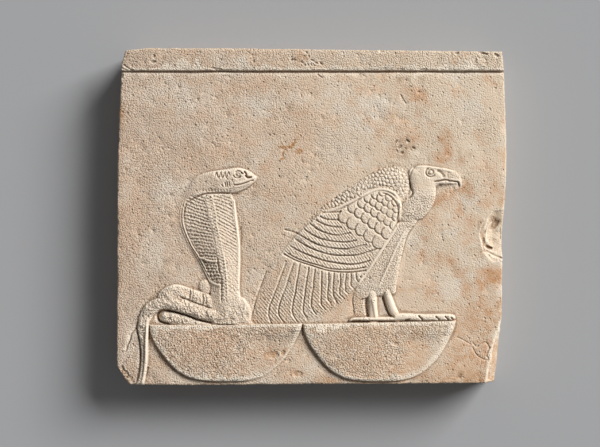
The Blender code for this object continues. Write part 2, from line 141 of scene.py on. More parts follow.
# Carving on the cobra
HOOD_RIM_LEFT = [
    (-10.9, 38.5), (-15.4, 42.5), (-17.9, 46.3), (-20.4, 52), (-23.6, 62.1), (-27.4, 67.8), (-30.6, 74.8),
    (-35, 83), (-38.8, 89.4), (-41, 98), (-43.2, 108), (-42.5, 120), (-38, 128),
]
HOOD_RIM_RIGHT = [
    (12.8, 29), (12.4, 35), (11.6, 50), (11.5, 75), (10, 95), (7.5, 105), (7, 114), (6.3, 121), (4, 129),
]
LADDER_LEFT = [
    (-4.5, 22), (-4.5, 45), (-5.5, 51), (-7, 55), (-8.5, 65), (-9.5, 72), (-10.5, 78), (-12.5, 88),
    (-15, 100), (-18, 112), (-20, 121), (-20.5, 131),
]
LADDER_RIGHT = [
    (1, 22), (1, 40), (-1, 60), (-5, 80), (-7.5, 92), (-9.5, 100), (-10, 108), (-12, 117), (-15, 131),
]
# Lines along the hood's left edge: how far in and how wide in steps, and their rise in millimetres
HOOD_BORDER = [(0.6, 0.7, 0.22), (1.7, 0.55, -0.4), (2.9, 0.8, 0.3), (4.4, 0.65, -0.46)]

# Grooves and ridges: their course and width in steps, and their depth or rise in millimetres
COBRA_GROOVES = [
    ([(5.5, 131), (0, 131.2), (-10, 131.3), (-18, 131.2), (-24, 129.8), (-33, 126),
      (-40, 121)], 2.4, 1.15),
    ([(6.5, 139.6), (10, 139.4), (16.8, 140.9), (24.5, 143.3), (28, 144.9)], 1.6, 1.15),
    ([(19, 150), (20.5, 147.8), (22.5, 146.8), (26, 146.6)], 3, 1.7),
    ([(14.6, 152.2), (17.2, 150.4)], 1.8, 1.39),
    ([(17.6, 153.4), (20.4, 150)], 2, 1.39),
    ([(-4.6, 140.4), (-3.4, 137.6)], 1.4, 0.9),
    ([(-1.2, 142.6), (-0.2, 137)], 1.4, 0.9),
    ([(0.8, 143), (1.6, 136.8)], 1.4, 0.9),
    ([(2.9, 143), (3.6, 137.6)], 1.4, 0.9),
    ([(-11.5, 146.5), (-9.8, 151.8), (-7.6, 146.6), (-5.4, 152), (-3.8, 146.8), (-1.4, 152.2), (0, 147),
      (2.2, 152), (4.4, 147.4)], 1.7, 1.02),
    ([(8.6, 152), (11, 153.4), (14, 153), (16, 150.6)], 1.5, 0.9),
    ([(6.6, 149.6), (9, 147), (12, 146.6), (15, 148)], 1.5, 0.9),
    ([(-60, 15), (-65.5, 14), (-68.5, 9.5), (-67.4, 4.5), (-63, 2.2), (-56, 0.8)], 2.8, 2),
    ([(-63, 14.6), (-53, 13.2), (-45, 10.8), (-37, 8.2), (-30, 5.4), (-22, 3.3), (-12, 1.2)], 2.8, 2.62),
    ([(-36.4, 37.5), (-36, 30), (-37.4, 23.5)], 1.3, 0.51),
    ([(-33.8, 37), (-33.2, 30), (-34.4, 23)], 1.3, 0.58),
    ([(-23.6, 32), (-22.6, 25), (-23.6, 19)], 1.5, 0.58),
    ([(-21, 31), (-20, 25), (-20.6, 19)], 1.2, 0.47),
    ([(-48, 28.3), (-38.7, 24.8), (-30.4, 21.6), (-22, 18.6), (-14, 16.2)], 2, 0.93),
    ([(-87, 6.8), (-89.2, -2), (-88.6, -8), (-86.6, -17), (-85.6, -30), (-86.6, -46),
      (-90, -60)], 2.4, 1.17),
    ([(-78.8, -42), (-79, -47), (-80.4, -53)], 1.8, 0.85),
    ([(-89, -2), (-92, -6), (-95, -10.5), (-96, -16), (-98.4, -20.5), (-99.4, -25),
      (-101.5, -29)], 1.5, 0.71),
    ([(-77, 3), (-77.4, -8), (-77.4, -16)], 2, 0.68),
    ([(10.6, 92), (15.6, 98.4), (13.4, 102)], 1.2, 0.51),
    ([(14.5, 78), (15.4, 84), (15, 92), (13.6, 99)], 1.6, 0.47),
    ([(-44.5, 121), (-42, 116), (-43, 108), (-46, 103)], 1.4, 0.28),
    ([(14.5, 27.5), (17.5, 26.5), (20.4, 23.6), (22.2, 20)], 1.5, 0.4),
]
COBRA_RIDGES = [
    ([(7, 141.4), (13.6, 142.6), (22.2, 145), (28.6, 147.2)], 1.7, 0.3),
    ([(-19, 45), (-14, 41.8), (-8.5, 39.6), (-5.5, 38.9)], 2.6, 0.34),
    ([(-26.8, 66.8), (-18.5, 64.2), (-13.5, 63.3), (-8.5, 63.6)], 2.4, 0.44),
    ([(7, 128), (8.4, 121), (9, 112), (10, 103), (11.4, 93), (13, 80), (13.2, 60), (13, 44),
      (13.6, 33)], 2.1, 0.34),
    ([(7, 138.2), (12, 138), (19, 140), (25.5, 143)], 1.8, 0.38),
    ([(7, 141.3), (12, 141.2), (18, 142.6), (24, 145)], 1.6, 0.3),
    ([(-78.2, 8), (-79, -6), (-79.8, -20), (-80, -34), (-81.4, -48), (-84, -61)], 3.4, 0.85),
]

# The vulture, in steps right of its basket's middle and up from its soles
BACK = [
    (31, 122), (30, 139), (28, 147), (21, 153), (6, 153), (-14, 143.5), (-44, 123), (-67, 105), (-96, 73),
    (-112, 46), (-122, 15), (-128.5, -6),
]
FEATHER_TIPS = [(-117, -6), (-82, -4), (-65, 1), (-44, 12), (-18, 38)]
WING_FRONT = [
    (-9, 52), (5, 72), (16, 93), (23, 112), (20, 121), (10, 129), (-5, 130), (-24, 120), (-42, 110.5),
    (-52, 109),
]
WING_BACK = [(-60, 107), (-90, 78), (-112, 46), (-120, 20), (-127, -2)]
BODY = [
    (37.5, 98.5), (29, 87), (24.6, 73), (20.5, 53), (17, 34), (15.5, 26), (4, 24.5), (-11, 22.5),
    (-18, 20.5), (-26, 25), (-10, 60), (10, 90), (30, 103),
]
FAR_THIGH = [(-26, 24), (-26, 12), (-24, 4), (-12, 3), (-11, 22)]
NECK = [
    (30, 150), (31.5, 130), (20, 112), (20, 98), (40, 100), (52, 112), (56.5, 126), (54, 146), (44, 152),
]
VULTURE_SKULL = [
    (31, 140), (31, 147), (38, 154), (54, 153.3), (66, 151), (70, 147), (69, 140), (60, 135.5), (50, 130),
    (40, 130),
]
VULTURE_BEAK = [
    (60, 151.8), (72.5, 149.9), (77.4, 147.4), (81, 143.4), (82.4, 139.5), (82.4, 135.5), (81, 131.4),
    (79.8, 133), (78.6, 136.2), (66, 135.3), (58, 138),
]
NEAR_LEG = [(-6.8, 26), (-6.2, 10), (-5.6, -1)]
FAR_LEG = [(7.5, 28), (12.5, 12), (18, 2)]
NEAR_FOOT = [(-29, -0.2), (-24, 1.2), (0, 1), (16, 1)]
FAR_FOOT = [(12, 4), (20, 7), (45, 6), (70, 6.3), (76, 3), (70, -0.6), (30, -0.4), (14, -0.4)]
FEATHERS = [
    (-93, 58, -110.8, 9, -107, -5), (-85, 58, -101, 9, -94, -5), (-79, 58, -87, 9, -81, -3),
    (-70.5, 54, -76.5, 10, -71, -1), (-64, 52, -68, 14, -62.5, 4.5), (-57.5, 50, -58.3, 17, -53, 9.5),
    (-50.5, 48.5, -51.5, 21.5, -47.5, 16.5), (-45.5, 48, -46, 24, -41.5, 17),
    (-39, 47.5, -39.3, 26.5, -34.5, 20.5), (-33.5, 47, -33.8, 29.5, -30, 25.5),
    (-28.5, 47, -28, 34, -23.5, 30.5), (-24, 47.5, -23, 40.5, -19.5, 36), (-19.5, 44, -18.3, 42, -16, 41),
]

# Carving on the vulture: bands across the wing, rows of small feathers, and single lines
WING_LINES = [
    [(-57, 107.5), (-41, 108), (-38, 109.5)],
    [(-60, 104), (-55, 101.5), (-50, 100.5), (-40, 100)],
    [(-64, 100.5), (-58, 97), (-53, 95), (-47, 93.5), (-37, 92.5)],
    [(-70, 97), (-66, 94), (-62, 91), (-53, 87), (-42, 84.8), (-35, 86), (-28, 87.5)],
    [(-76, 91.5), (-68, 86), (-60, 82), (-50, 79.3), (-38, 78), (-30, 78.4), (-22, 80)],
    [(-96, 91), (-85, 88), (-81, 86), (-70, 79.7), (-60, 75), (-50, 72.5), (-38, 71.3), (-30, 71.5),
     (-18, 74.5), (-12, 75.5)],
    [(-85, 81.5), (-75, 75.3), (-65, 70.5), (-55, 67), (-44, 64.7), (-28, 64.7), (-20, 65.5), (-8, 69.5),
     (-2, 71)],
    [(-90.5, 75), (-80, 69), (-68, 64), (-57, 60), (-45, 57.5), (-30, 55.7), (-18, 57), (-8, 60)],
    [(-97, 67), (-87, 61.5), (-80, 58.5), (-66, 54), (-55, 50.5), (-44, 48.5), (-30, 47.8), (-18, 49),
     (-12, 50)],
    [(-93, 67.5), (-83, 62), (-72, 58), (-60, 54.5), (-50, 51.5), (-38, 50.5), (-24, 51), (-13, 53)],
]
BARBED_BANDS = [
    (-57, 107), (-41, 107.5), (-41, 100), (-33, 96), (-31, 90), (-25, 88.5), (-17, 81.5), (-10, 76),
    (-6, 71), (-6, 60), (-11, 52), (-25, 51), (-45, 51), (-66, 57), (-86, 64.5), (-95, 68), (-90, 76),
    (-84, 83), (-75, 93), (-68, 99), (-60, 106),
]
PLAIN_BAND = [
    (-86, 86), (-70, 78), (-50, 71.5), (-30, 70), (-12, 74.5), (-2, 70), (-28, 64.7), (-55, 67),
    (-75, 75.3),
]
SMALL_FEATHERS = [
    ((-35, 103), (-0.5, 78), 5, 6.3, 6.8),
    ((-26.5, 112), (8, 87), 6, 5.2, 6.2),
    ((-17, 116.5), (15, 94.5), 6, 4.9, 4.7),
    ((-11, 121.5), (17, 103), 6, 4.4, 4.6),
    ((-4, 125), (17, 111), 5, 4.2, 4.1),
    ((3, 127.5), (16, 117.5), 3, 3.9, 3.9),
]
FEATHERED = [
    (21, 112), (19, 120), (10, 127), (-4, 127.5), (-22, 118.5), (-36, 111.5), (-42, 106), (-41, 98),
    (-20, 78), (-4, 68), (2, 70), (12, 87),
]
VULTURE_GROOVES = [
    ([(1, 127), (8, 125.4), (14.4, 120), (18, 113.4), (18.6, 106), (16.4, 97)], 2, 0.74),
    ([(-3, 132.8), (-12, 131), (-19, 129.6)], 1.8, 0.48),
    ([(36, 152.6), (32.6, 149.6), (31, 145), (30.5, 140), (31.2, 134)], 1.7, 0.62),
    ([(30.8, 138), (31.8, 132.5), (33.2, 128.5), (32.6, 125), (28.5, 121)], 2.8, 1.5),
    ([(53, 138.2), (59, 139), (64.5, 140), (68.4, 139.9), (70, 138.8), (72.5, 139.1), (77.5, 138.2),
      (79, 137.2), (79.8, 134.6), (81, 131.4)], 1.9, 1.3),
    ([(57, 149.6), (60.5, 148), (63, 145.4), (65, 142)], 3.4, 0.55),
    ([(69.6, 149), (68, 145), (69.6, 140.8)], 1.5, 0.35),
    ([(21, 98), (31, 98.2)], 1.4, 0.41),
    ([(36, 99.6), (40.5, 101)], 1.3, 0.41),
    ([(26, 92), (35, 93.2)], 1.4, 0.37),
    ([(46, 134), (52, 133.2)], 1.4, 0.22),
    ([(-13.2, 22), (-13.2, 14), (-12, 7), (-11, 2)], 4, 1.1),
    ([(-19, 20), (-14, 21.4), (-11, 22.4)], 1.5, 0.62),
    ([(3.6, 24.5), (4.6, 19.5), (6.8, 13.5), (9, 8), (11.5, 4.4), (16, 2.8)], 3.4, 1.25),
    ([(-26.6, 23), (-26.6, 17), (-25.6, 11.5), (-25.6, 6)], 1.5, 0.59),
    ([(-32, -1.4), (-25, -1.2), (-10, -0.9), (6, -0.8), (17, -0.4)], 1.6, 0.97),
    ([(25, 0), (31, 1)], 2, 1.2),
    ([(38.5, 5), (43.5, 0)], 2, 1.5),
    ([(55.5, 4), (60.5, 0)], 2, 1.5),
    ([(65, 4), (69.5, 0)], 1.8, 1.3),
    ([(70.8, 3), (74.4, 0)], 1.6, 1.1),
    ([(50, -0.5), (62, -0.4), (74, -0.2)], 1.3, 0.53),
    ([(-112, 52), (-116, 40), (-120.5, 28), (-124, 16), (-127, 5), (-128.5, -2)], 1.7, 0.53),
    ([(-111, 54), (-118, 34), (-125, 14), (-117, -4)], 1.4, 0.25),
    ([(-101, 59), (-105, 50)], 1.3, 0.31),
    ([(-76.5, -5), (-76.6, -9), (-76.5, -16)], 2.2, 1.09),
]
VULTURE_RIDGES = [
    ([(-27, 27), (-11, 50), (3, 71), (14, 88), (18.6, 97), (20.8, 106), (21.4, 114), (19, 121),
      (13.6, 127.4), (5, 130.4), (-3, 130.2), (-11, 127.4), (-20, 122.8), (-32, 116.6), (-45, 110.8),
      (-58, 107.6)], 3, 0.56),
    ([(26, 90), (16, 70), (8, 52), (-1.5, 31.5)], 2.4, 0.3),
    ([(38, 97), (33, 89), (28, 79), (24, 64), (20.5, 48), (17.5, 33)], 2.6, 0.33),
    ([(36, 152.6), (44, 154), (54, 152.6), (64, 150.6), (74, 148.4)], 2.4, 0.36),
    ([(-6, 22), (-4, 12), (-2.4, 2)], 5, 0.43),
    ([(71, 140.8), (76, 139.8), (80.5, 139), (81.8, 134)], 2, 0.3),
    ([(57, 136.6), (66, 137.8), (74, 136.8)], 1.8, 0.36),
]

# Rings of points down the sides, as shares of the thickness, and in under the back, as shares of its size
SIDE_LEVELS = [
    0.985, 0.96, 0.92, 0.86, 0.78, 0.7, 0.62, 0.54, 0.46, 0.38, 0.3, 0.22, 0.14, 0.08, 0.04, 0.015, 0,
]
BACK_SHARES = [0.994, 0.985] + [0.97 - 0.03 * number for number in range(32)]

# Stains, and a few patches of painted shade: middle and reach in steps of the slab's grid, and how strong
OCHRE = [
    (165, -98, 22, 24, 0.5), (152, -140, 24, 18, 0.5), (176, -70, 12, 12, 0.5), (118, -156, 40, 8, 0.5),
    (68, -134, 62, 30, 0.5), (-74, -134, 62, 30, 0.35), (108, 120, 7, 7, 1), (107, 106, 3.5, 11, 0.65),
    (78, 99, 8, 9, 0.65), (92, 94, 8, 5, 0.78), (91, 129, 5, 6, 0.45), (120, 94, 6, 5, 0.45),
    (103, 77, 11, 5, 0.65), (80, 60, 5, 8, 0.65), (137, 67, 7, 8, 0.98), (131, 59, 8, 6, 0.91),
    (130, 20, 10, 7, 0.98), (143, 25, 8, 4, 0.78), (179, 31, 7, 5, 0.52), (146, 5, 7, 9, 0.78),
    (157, -6, 9, 8, 0.78), (172, 14, 8, 6, 0.45), (117, -2, 7, 6, 0.65), (157, -19, 11, 9, 0.52),
    (116, -25, 5, 6, 0.65), (112, -38, 9, 6, 0.78), (136, -44, 11, 7, 0.78), (147, -52, 8, 9, 0.78),
    (153, -66, 6, 9, 0.78), (122, -76, 8, 6, 0.65), (172, -53, 8, 5, 0.52), (182, -60, 13, 12, 1),
    (173, -93, 11, 9, 0.91), (155, -105, 7, 5, 0.78), (174, -108, 15, 9, 0.78), (153, -119, 18, 16, 0.59),
    (168, -141, 26, 24, 0.72), (123, -161, 16, 7, 0.52), (175, 48, 6, 10, 0.45), (-48, 49, 7, 9, 0.5),
    (-72, 79, 18, 10, 0.25), (-146, 102, 8, 7, 0.3), (-69, 129, 22, 9, 0.3), (-87, 64, 16, 10, 0.25),
    (-39, 84, 14, 14, 0.25), (-122, -148, 4, 4, 0.4),
]
RUST = [
    (-12.5, 65.5, 3.4, 2.4, 1.8), (-16.2, 75.4, 1.3, 2, 1.8), (-18.8, 72.2, 1.6, 1.8, 1.8),
    (-22.5, 70, 2.4, 1.1, 1.8), (-28.4, 69.4, 2.8, 1, 1.6), (-25.4, 67.6, 1.5, 1.2, 1.4),
    (-28.8, 63.4, 1, 2.4, 1.4), (-29, 58.4, 2.2, 1.2, 1.6), (134, 81, 5, 6, 0.8), (127, 75, 3, 3, 0.5),
    (155, 28, 9, 8, 0.75), (189, 18, 5, 9, 0.75), (183, -89, 12, 12, 0.6), (-190, 106, 3, 5, 1.6),
    (-191, 98, 2, 10, 0.5), (16, -164, 14, 3, 0.6), (160, -163, 28, 4, 0.7), (-39, -138, 8, 5.4, 0.8),
    (-29, -136, 5, 4, 0.6), (-14, -157, 7, 4, 0.7), (186, -62, 6, 7, 0.5), (-12, 158, 10, 6, 0.5),
]
# Brown stains; the six rows between x 170 and 184 are painted shade in the hollow and along the crescent of
# the upper break
BROWN_AND_BREAK_SHADE = [
    (171.6, -18, 1.6, 4.6, 1.2), (172.4, -25, 2, 4.4, 1.3), (177, -30.5, 3.8, 1.8, 1.6),
    (183.3, -7.5, 3.4, 6.5, 1.2), (88, 70, 8, 10, 0.5), (96, 76, 2.6, 2.6, 0.9), (101.5, 69, 2.6, 2, 0.9),
    (170, -19, 3.4, 15, 0.75), (176, -31, 6, 3, 0.6), (80, 138, 30, 2.4, 0.5), (140, -160, 40, 4, 0.5),
    (149, 60, 4, 9, 0.4), (155, 62, 6, 5, 0.4), (-186, -160, 8, 6, 0.5),
]
PALE = [
    (-131, 121, 14, 14, 0.5), (-114, 84, 12, 10, 0.4), (-56, 107, 16, 14, 0.4), (-158, 127, 12, 10, 0.35),
    (-127, -161, 18, 8, 0.6), (-62, -165, 16, 4, 0.6), (16, -148, 22, 12, 0.35), (44, 112, 26, 30, 0.45),
    (30, 70, 24, 22, 0.4), (150, 110, 20, 30, 0.25), (160, 12, 12, 8, 0.5), (140, -10, 14, 12, 0.4),
    (150, -35, 10, 7, 0.45), (136, -68, 16, 14, 0.4), (186, -40, 6, 8, 0.5), (160, -90, 14, 10, 0.35),
    (-150, 20, 18, 22, 0.4), (-160, -30, 14, 16, 0.3), (168, -137, 9, 9, 0.5), (-175, -120, 12, 20, 0.35),
]

# Flakes off the stone: middle, half length and half width in steps, turn in degrees, depth in millimetres
CHIPS = [
    (-157.5, 160.5, 2.2, 1.3, 90, 0.5), (-158, 155, 3.2, 1.5, 0, 0.6), (-167, 154, 1.4, 1.2, 0, 0.3),
    (-58, 155, 1.6, 1.3, 90, 0.4), (-19, 157, 3, 1.8, 20, 0.35), (70, 165.5, 2.4, 1.6, 0, 0.6),
    (145, 163.5, 2.2, 1.6, 0, 0.6), (171, 163.5, 5, 1.6, -15, 0.9), (184.5, 161.5, 3, 1.6, -30, 0.7),
    (-94, 147, 8, 1.8, -14, 0.5), (-85, 146, 7, 1.5, 4, 0.4), (88, 147, 5, 1.5, 0, 0.4),
    (111, 146.5, 5, 1.8, 10, 0.6), (120, 146, 6, 1.3, 0, 0.35), (-190, 141, 3, 2, 90, 0.5),
    (-191, 133, 2.4, 1.8, 90, 0.4), (96, 76, 2.6, 1.4, -35, 0.6), (101.5, 69, 2.2, 1.3, -20, 0.5),
    (88, 70, 3, 1.6, 40, 0.45), (84, 75, 2.6, 1.4, 50, 0.4), (90, 64, 2.2, 1.6, 0, 0.45),
    (85, 66, 2, 1.2, 120, 0.35), (107, 125, 1.6, 1.2, 0, 0.4), (-39, -138, 7, 4, 0, 0.45),
    (-29, -136, 3, 2.4, 80, 0.4), (-14, -157, 5.4, 3, 0, 0.4), (84, -127, 3, 2, 0, 0.3),
    (-187, -157, 6, 4, -50, 0.5), (-19.8, 156.9, 1.2, 1, 0, 0.5), (-16.8, 156.5, 1.1, 0.9, 0, 0.5),
    (-20.2, 159.8, 1.1, 0.8, 0, 0.4), (-5.3, 164.1, 1.8, 0.9, -50, 0.45),
    (-7.5, 160.5, 1.3, 0.8, -20, 0.4), (-2.7, 160.3, 2, 0.9, -70, 0.5), (0.5, 156.3, 2.4, 0.9, -22, 0.5),
    (4.6, 153.7, 2.2, 0.9, -25, 0.5), (9.2, 153, 2.4, 0.9, -42, 0.45), (-6.8, 151.8, 1.8, 0.8, -60, 0.45),
    (-3.4, 151.8, 1.9, 0.8, -65, 0.45), (-0.5, 151.8, 1.9, 0.8, -60, 0.45),
    (2.2, 151.6, 2, 0.8, -50, 0.45), (-10, 154.5, 2.4, 0.8, -40, 0.4), (183.3, -7.5, 6.5, 3.6, 52, 0.6),
    (177.4, -30.6, 3.8, 1.7, -14, 0.25), (-190, -151, 3, 2.4, -40, 0.5), (-100, 74, 2, 1.4, 0, 0.3),
    (-96, 78, 1.6, 1.2, 0, 0.25),
]

# Scratches and cracks: their course and width in steps, and their depth in millimetres, negative for a lip
SCRATCHES = [
    ([(175.4, -34), (177.7, -35.7), (180.6, -37.4), (184.8, -39.3), (190.3, -41.3)], 2.5, 0.7),
    ([(172.8, -14.5), (171.6, -20), (172.4, -26), (175.4, -30), (179.4, -31.4)], 4.4, 0.5),
    ([(179.6, -5.8), (176.4, -9.7), (175.2, -14.3), (174.9, -19.7), (176, -24.4), (178, -28.2),
      (180.6, -29.8)], 1.9, -0.4),
    ([(189.2, -12), (189.6, -17), (189.4, -22)], 1.4, 0.35),
    ([(172.2, -22), (173, -26.4), (175.6, -30), (180, -31.4)], 3, 0.4),
    ([(6, 142.5), (8, 140.6), (10.4, 139.2)], 1.6, 0.4),
    ([(89, 122), (91, 118), (94, 113.5)], 1.5, 0.4),
    ([(145, -120), (152, -123.5), (159, -127.5)], 1.3, 0.3),
    ([(165.5, 159), (166, 155), (169, 152), (173, 151.6)], 1.4, -0.3),
    ([(171, 160), (174, 156), (173, 152)], 1.3, 0.25),
    ([(-188, 152), (-184, 149), (-178, 145.4)], 1.5, 0.6),
    ([(-191, 149), (-186, 147), (-181, 146.4)], 1.4, 0.4),
    ([(161, -126), (165, -130), (169, -127), (174, -125.4), (178, -131)], 1.5, 0.35),
    ([(178, -131), (175, -138), (177, -143), (171, -142), (165, -138), (161, -131)], 1.5, 0.35),
    ([(-17, 77), (-20, 72), (-27, 67), (-30.5, 69)], 1.6, 0.2),
    ([(-27, 67), (-29.5, 62), (-27, 58)], 1.6, 0.2),
    ([(-186, -144), (-190, -150), (-182, -160), (-178, -167)], 1.5, 0.25),
    ([(-108, -43), (-104, -48)], 1.5, 0.3),
]
# The raster of the face: x across, y up, the height of the forms, and the fine carving kept apart from them
xs = np.arange(-PLAQUE_WIDTH / 2 - MARGIN, PLAQUE_WIDTH / 2 + MARGIN, RASTER)
ys = np.arange(-PLAQUE_HEIGHT / 2 - MARGIN, PLAQUE_HEIGHT / 2 + MARGIN, RASTER)
face = np.zeros((len(ys), len(xs)))
lines, pitted, smooth, furrow_row, furrow_run, furrow_gap, furrow_depth = np.zeros((7,) + face.shape)
whole = (slice(0, len(ys)), slice(0, len(xs)))


def soft_step(t):
    t = np.clip(t, 0, 1)
    return t * t * (3 - 2 * t)


def between(t, low, high, soft_low, soft_high):
    """One between two limits, falling softly to nothing at each of them."""
    return soft_step((t - low) / soft_low) * soft_step((high - t) / soft_high)


def bell(offset, width):
    """One where the offset is nothing, falling away on both sides over this width."""
    return np.exp(-((offset / width) ** 2))


def quarter_round(distance, reach):
    t = np.clip(distance / reach, 0, 1)
    return np.sqrt(1 - (1 - t) ** 2)


def turned(x, y, turn):
    """Positions along and across a direction at this angle."""
    return x * math.cos(turn) + y * math.sin(turn), y * math.cos(turn) - x * math.sin(turn)


def read(table, u, v, ease=lambda part: part):
    """The table's values at these columns and rows and between them. Past its edges it starts again."""
    i = np.floor(u).astype(int)
    j = np.floor(v).astype(int)
    across = ease(u - i)
    up = ease(v - j)
    near = i % table.shape[1]
    far = (i + 1) % table.shape[1]
    below = j % table.shape[0]
    above = (j + 1) % table.shape[0]
    low = table[below, near] * (1 - across) + table[below, far] * across
    high = table[above, near] * (1 - across) + table[above, far] * across
    return low * (1 - up) + high * up


def noise(x, y, size, seed):
    """Smooth unevenness between -1 and 1, with lumps of this size."""
    table = np.random.RandomState(seed).rand(NOISE_CELLS, NOISE_CELLS) * 2 - 1
    return read(table, x / size + 1000.0, y / size + 1000.0, soft_step)


def layered(x, y, size, seed, layers=3):
    """Noise with finer noise on top of it."""
    return sum(noise(x, y, size / 2.1**layer, seed + layer) * 0.55**layer for layer in range(layers))


def sample(layer, x, y):
    """The value of a raster layer at these points."""
    u = np.clip((x - xs[0]) / RASTER, 0, len(xs) - 1.001)
    v = np.clip((y - ys[0]) / RASTER, 0, len(ys) - 1.001)
    return read(layer, u, v)


def blur(field, reach):
    """The field averaged over this reach, three times over."""
    cells = max(round(reach / RASTER / 2), 1)
    for _ in range(3):
        for axis in (0, 1):
            wide = [(0, 0), (0, 0)]
            wide[axis] = (cells + 1, cells)
            sums = np.cumsum(np.pad(field, wide, mode="edge"), axis=axis)
            count = field.shape[axis]
            high = np.take(sums, range(2 * cells + 1, 2 * cells + 1 + count), axis=axis)
            low = np.take(sums, range(count), axis=axis)
            field = (high - low) / (2 * cells + 1)
    return field


def curve(points, closed=False):
    """A smooth line through the points."""
    points = np.asarray(points, float)
    if closed:
        held = np.vstack([points[-1], points, points[:2]])
    else:
        held = np.vstack([2 * points[0] - points[1], points, 2 * points[-1] - points[-2]])
    t = np.arange(0, 1, 0.25)[:, None]
    pieces = []
    for a, b, c, d in zip(held, held[1:], held[2:], held[3:]):
        bend = (2 * a - 5 * b + 4 * c - d) * t**2 + (3 * b - a - 3 * c + d) * t**3
        pieces.append(0.5 * (2 * b + (c - a) * t + bend))
    if not closed:
        pieces.append(held[-2][None])
    return np.vstack(pieces)


def place(figure, points):
    """Points in steps of a figure's grid, put on the face in metres."""
    return np.asarray(points, float) * figure[2] + np.array(figure[:2])


def window(line, reach):
    """The part of the raster that lies within this reach of the line."""
    low = line.min(axis=0) - reach
    high = line.max(axis=0) + reach
    columns = np.searchsorted(xs, [low[0], high[0]])
    rows = np.searchsorted(ys, [low[1], high[1]])
    return slice(*rows), slice(*columns)


def spread(area):
    return xs[area[1]][None, :], ys[area[0]][:, None]


def steps(figure, area):
    """The raster points of an area in steps of a figure's grid."""
    x, y = spread(area)
    return (x - figure[0]) / figure[2] + 0 * y, (y - figure[1]) / figure[2] + 0 * x


def patch(figure, corners, reach=0.0):
    """The area between two corners given in steps, and its raster points in steps."""
    area = window(place(figure, corners), reach)
    return area, *steps(figure, area)


def along(line, area):
    """Distance of each raster point from the line, and how far along the line it lies from 0 to 1."""
    x, y = spread(area)
    lengths = np.hypot(*np.diff(line, axis=0).T)
    nearest = np.full((y.size, x.size), 1e9)
    share = np.zeros_like(nearest)
    done = 0.0
    for start, end, length in zip(line[:-1], line[1:], lengths):
        step = (end - start) / length
        t = np.clip((x - start[0]) * step[0] + (y - start[1]) * step[1], 0, length)
        away = (x - start[0] - t * step[0]) ** 2 + (y - start[1] - t * step[1]) ** 2
        share = np.where(away < nearest, (done + t) / lengths.sum(), share)
        nearest = np.minimum(away, nearest)
        done += length
    return np.sqrt(nearest), share


def depth_inside(line, area):
    """Distance in from a closed outline, negative outside it."""
    x, y = spread(area)
    away, _ = along(np.vstack([line, line[:1]]), area)
    within = np.zeros(away.shape, bool)
    for a, b in zip(line, np.roll(line, -1, axis=0)):
        if a[1] != b[1]:
            beside = x < a[0] + (y - a[1]) * (b[0] - a[0]) / (b[1] - a[1])
            within ^= (y > min(a[1], b[1])) & (y <= max(a[1], b[1])) & beside
    return np.where(within, away, -away)


def mask_of(outline, softness):
    """One inside a closed outline and nothing outside it, over the whole raster."""
    mask = np.zeros_like(face)
    area = window(outline, MARGIN)
    mask[area] = soft_step(depth_inside(outline, area) / softness + 0.5)
    return mask


def inside(figure, points, softness):
    """The mask of a closed curve through these points, softened over this many steps."""
    return mask_of(place(figure, curve(points, True)), softness * figure[2])


def lift(layer, area, height, within=True):
    """Raise the layer to this height wherever it lies lower, at the points within."""
    layer[area] = np.where(within, np.maximum(layer[area], height), layer[area])


def raise_shape(figure, points, rise, rounding, low_share=0.0):
    """Stand a closed outline out of the face, its edge rounded over, its rise even or changing across."""
    line = place(figure, curve(points, True))
    area = window(line, MARGIN)
    depth = depth_inside(line, area)
    x, _ = steps(figure, area)
    table = np.array(rise if isinstance(rise, list) else [(0, rise)], float)
    high = np.interp(x, table[:, 0], figure[3] * table[:, 1])
    height = high * (low_share + (1 - low_share) * quarter_round(depth, rounding * figure[2]))
    lift(face, area, height, depth > 0)


def raise_cord(figure, points, half_widths, rises):
    """Stand a round cord out of the face, its width and height changing along it."""
    line = place(figure, curve(points))
    area = window(line, max(half_widths) * figure[2])
    away, share = along(line, area)
    half = np.interp(share, np.linspace(0, 1, len(half_widths)), half_widths) * figure[2]
    rise = np.interp(share, np.linspace(0, 1, len(rises)), figure[3] * np.array(rises))
    lift(face, area, rise * np.sqrt(np.clip(1 - (away / half) ** 2, 0, 1)))


def cut_groove(line, width, depth, fading=0.1):
    """Cut a rounded groove that fades out at both ends. A negative depth leaves a flat ridge instead."""
    area = window(line, width)
    away, share = along(line, area)
    fade = between(share, 0, 1, fading, fading)
    across = fade * np.clip(1 - (2 * away / width) ** (4 if depth < 0 else 2), 0, 1)
    if depth < 0:
        lines[area] *= 1 - across
        lift(smooth, area, 0.8 * across)
    lines[area] -= depth * across


def lap(line, reach, rise):
    """Lift the surface above a line, so that it laps over what lies below."""
    area = window(line, reach)
    x, y = spread(area)
    away, share = along(line, area)
    above = (y > np.interp(x, line[:, 0], line[:, 1])) & (x > line[0, 0]) & (x < line[-1, 0])
    lines[area] += np.where(above, rise * between(share, 0, 1, 0.1, 0.1) * np.clip(1 - away / reach, 0, 1), 0)


def width_at(line, y):
    line = curve(line)
    return np.interp(y, line[:, 1], line[:, 0])


def edge_at(table, along_edge, half_along, half_across):
    table = np.asarray(table, float)
    return np.interp(along_edge, table[:, 0] * half_along, table[:, 1] * half_across)


def slab_sides(x, y, frayed=1.0):
    """The left, right, bottom and top limits of the slab at these points, a little frayed at the face."""
    bite = EDGE_FRAY * frayed
    half_x = PLAQUE_WIDTH / 2
    half_y = PLAQUE_HEIGHT / 2
    left = edge_at(LEFT_EDGE, y, half_y, half_x) + bite * fray(y, 51)
    right = edge_at(RIGHT_EDGE, y, half_y, half_x) - bite * fray(y, 52)
    bottom = edge_at(BOTTOM_EDGE, x, half_x, half_y) + bite * fray(x, 53)
    top = edge_at(TOP_EDGE, x, half_x, half_y) - bite * fray(x, 54)
    return left, right, bottom, top


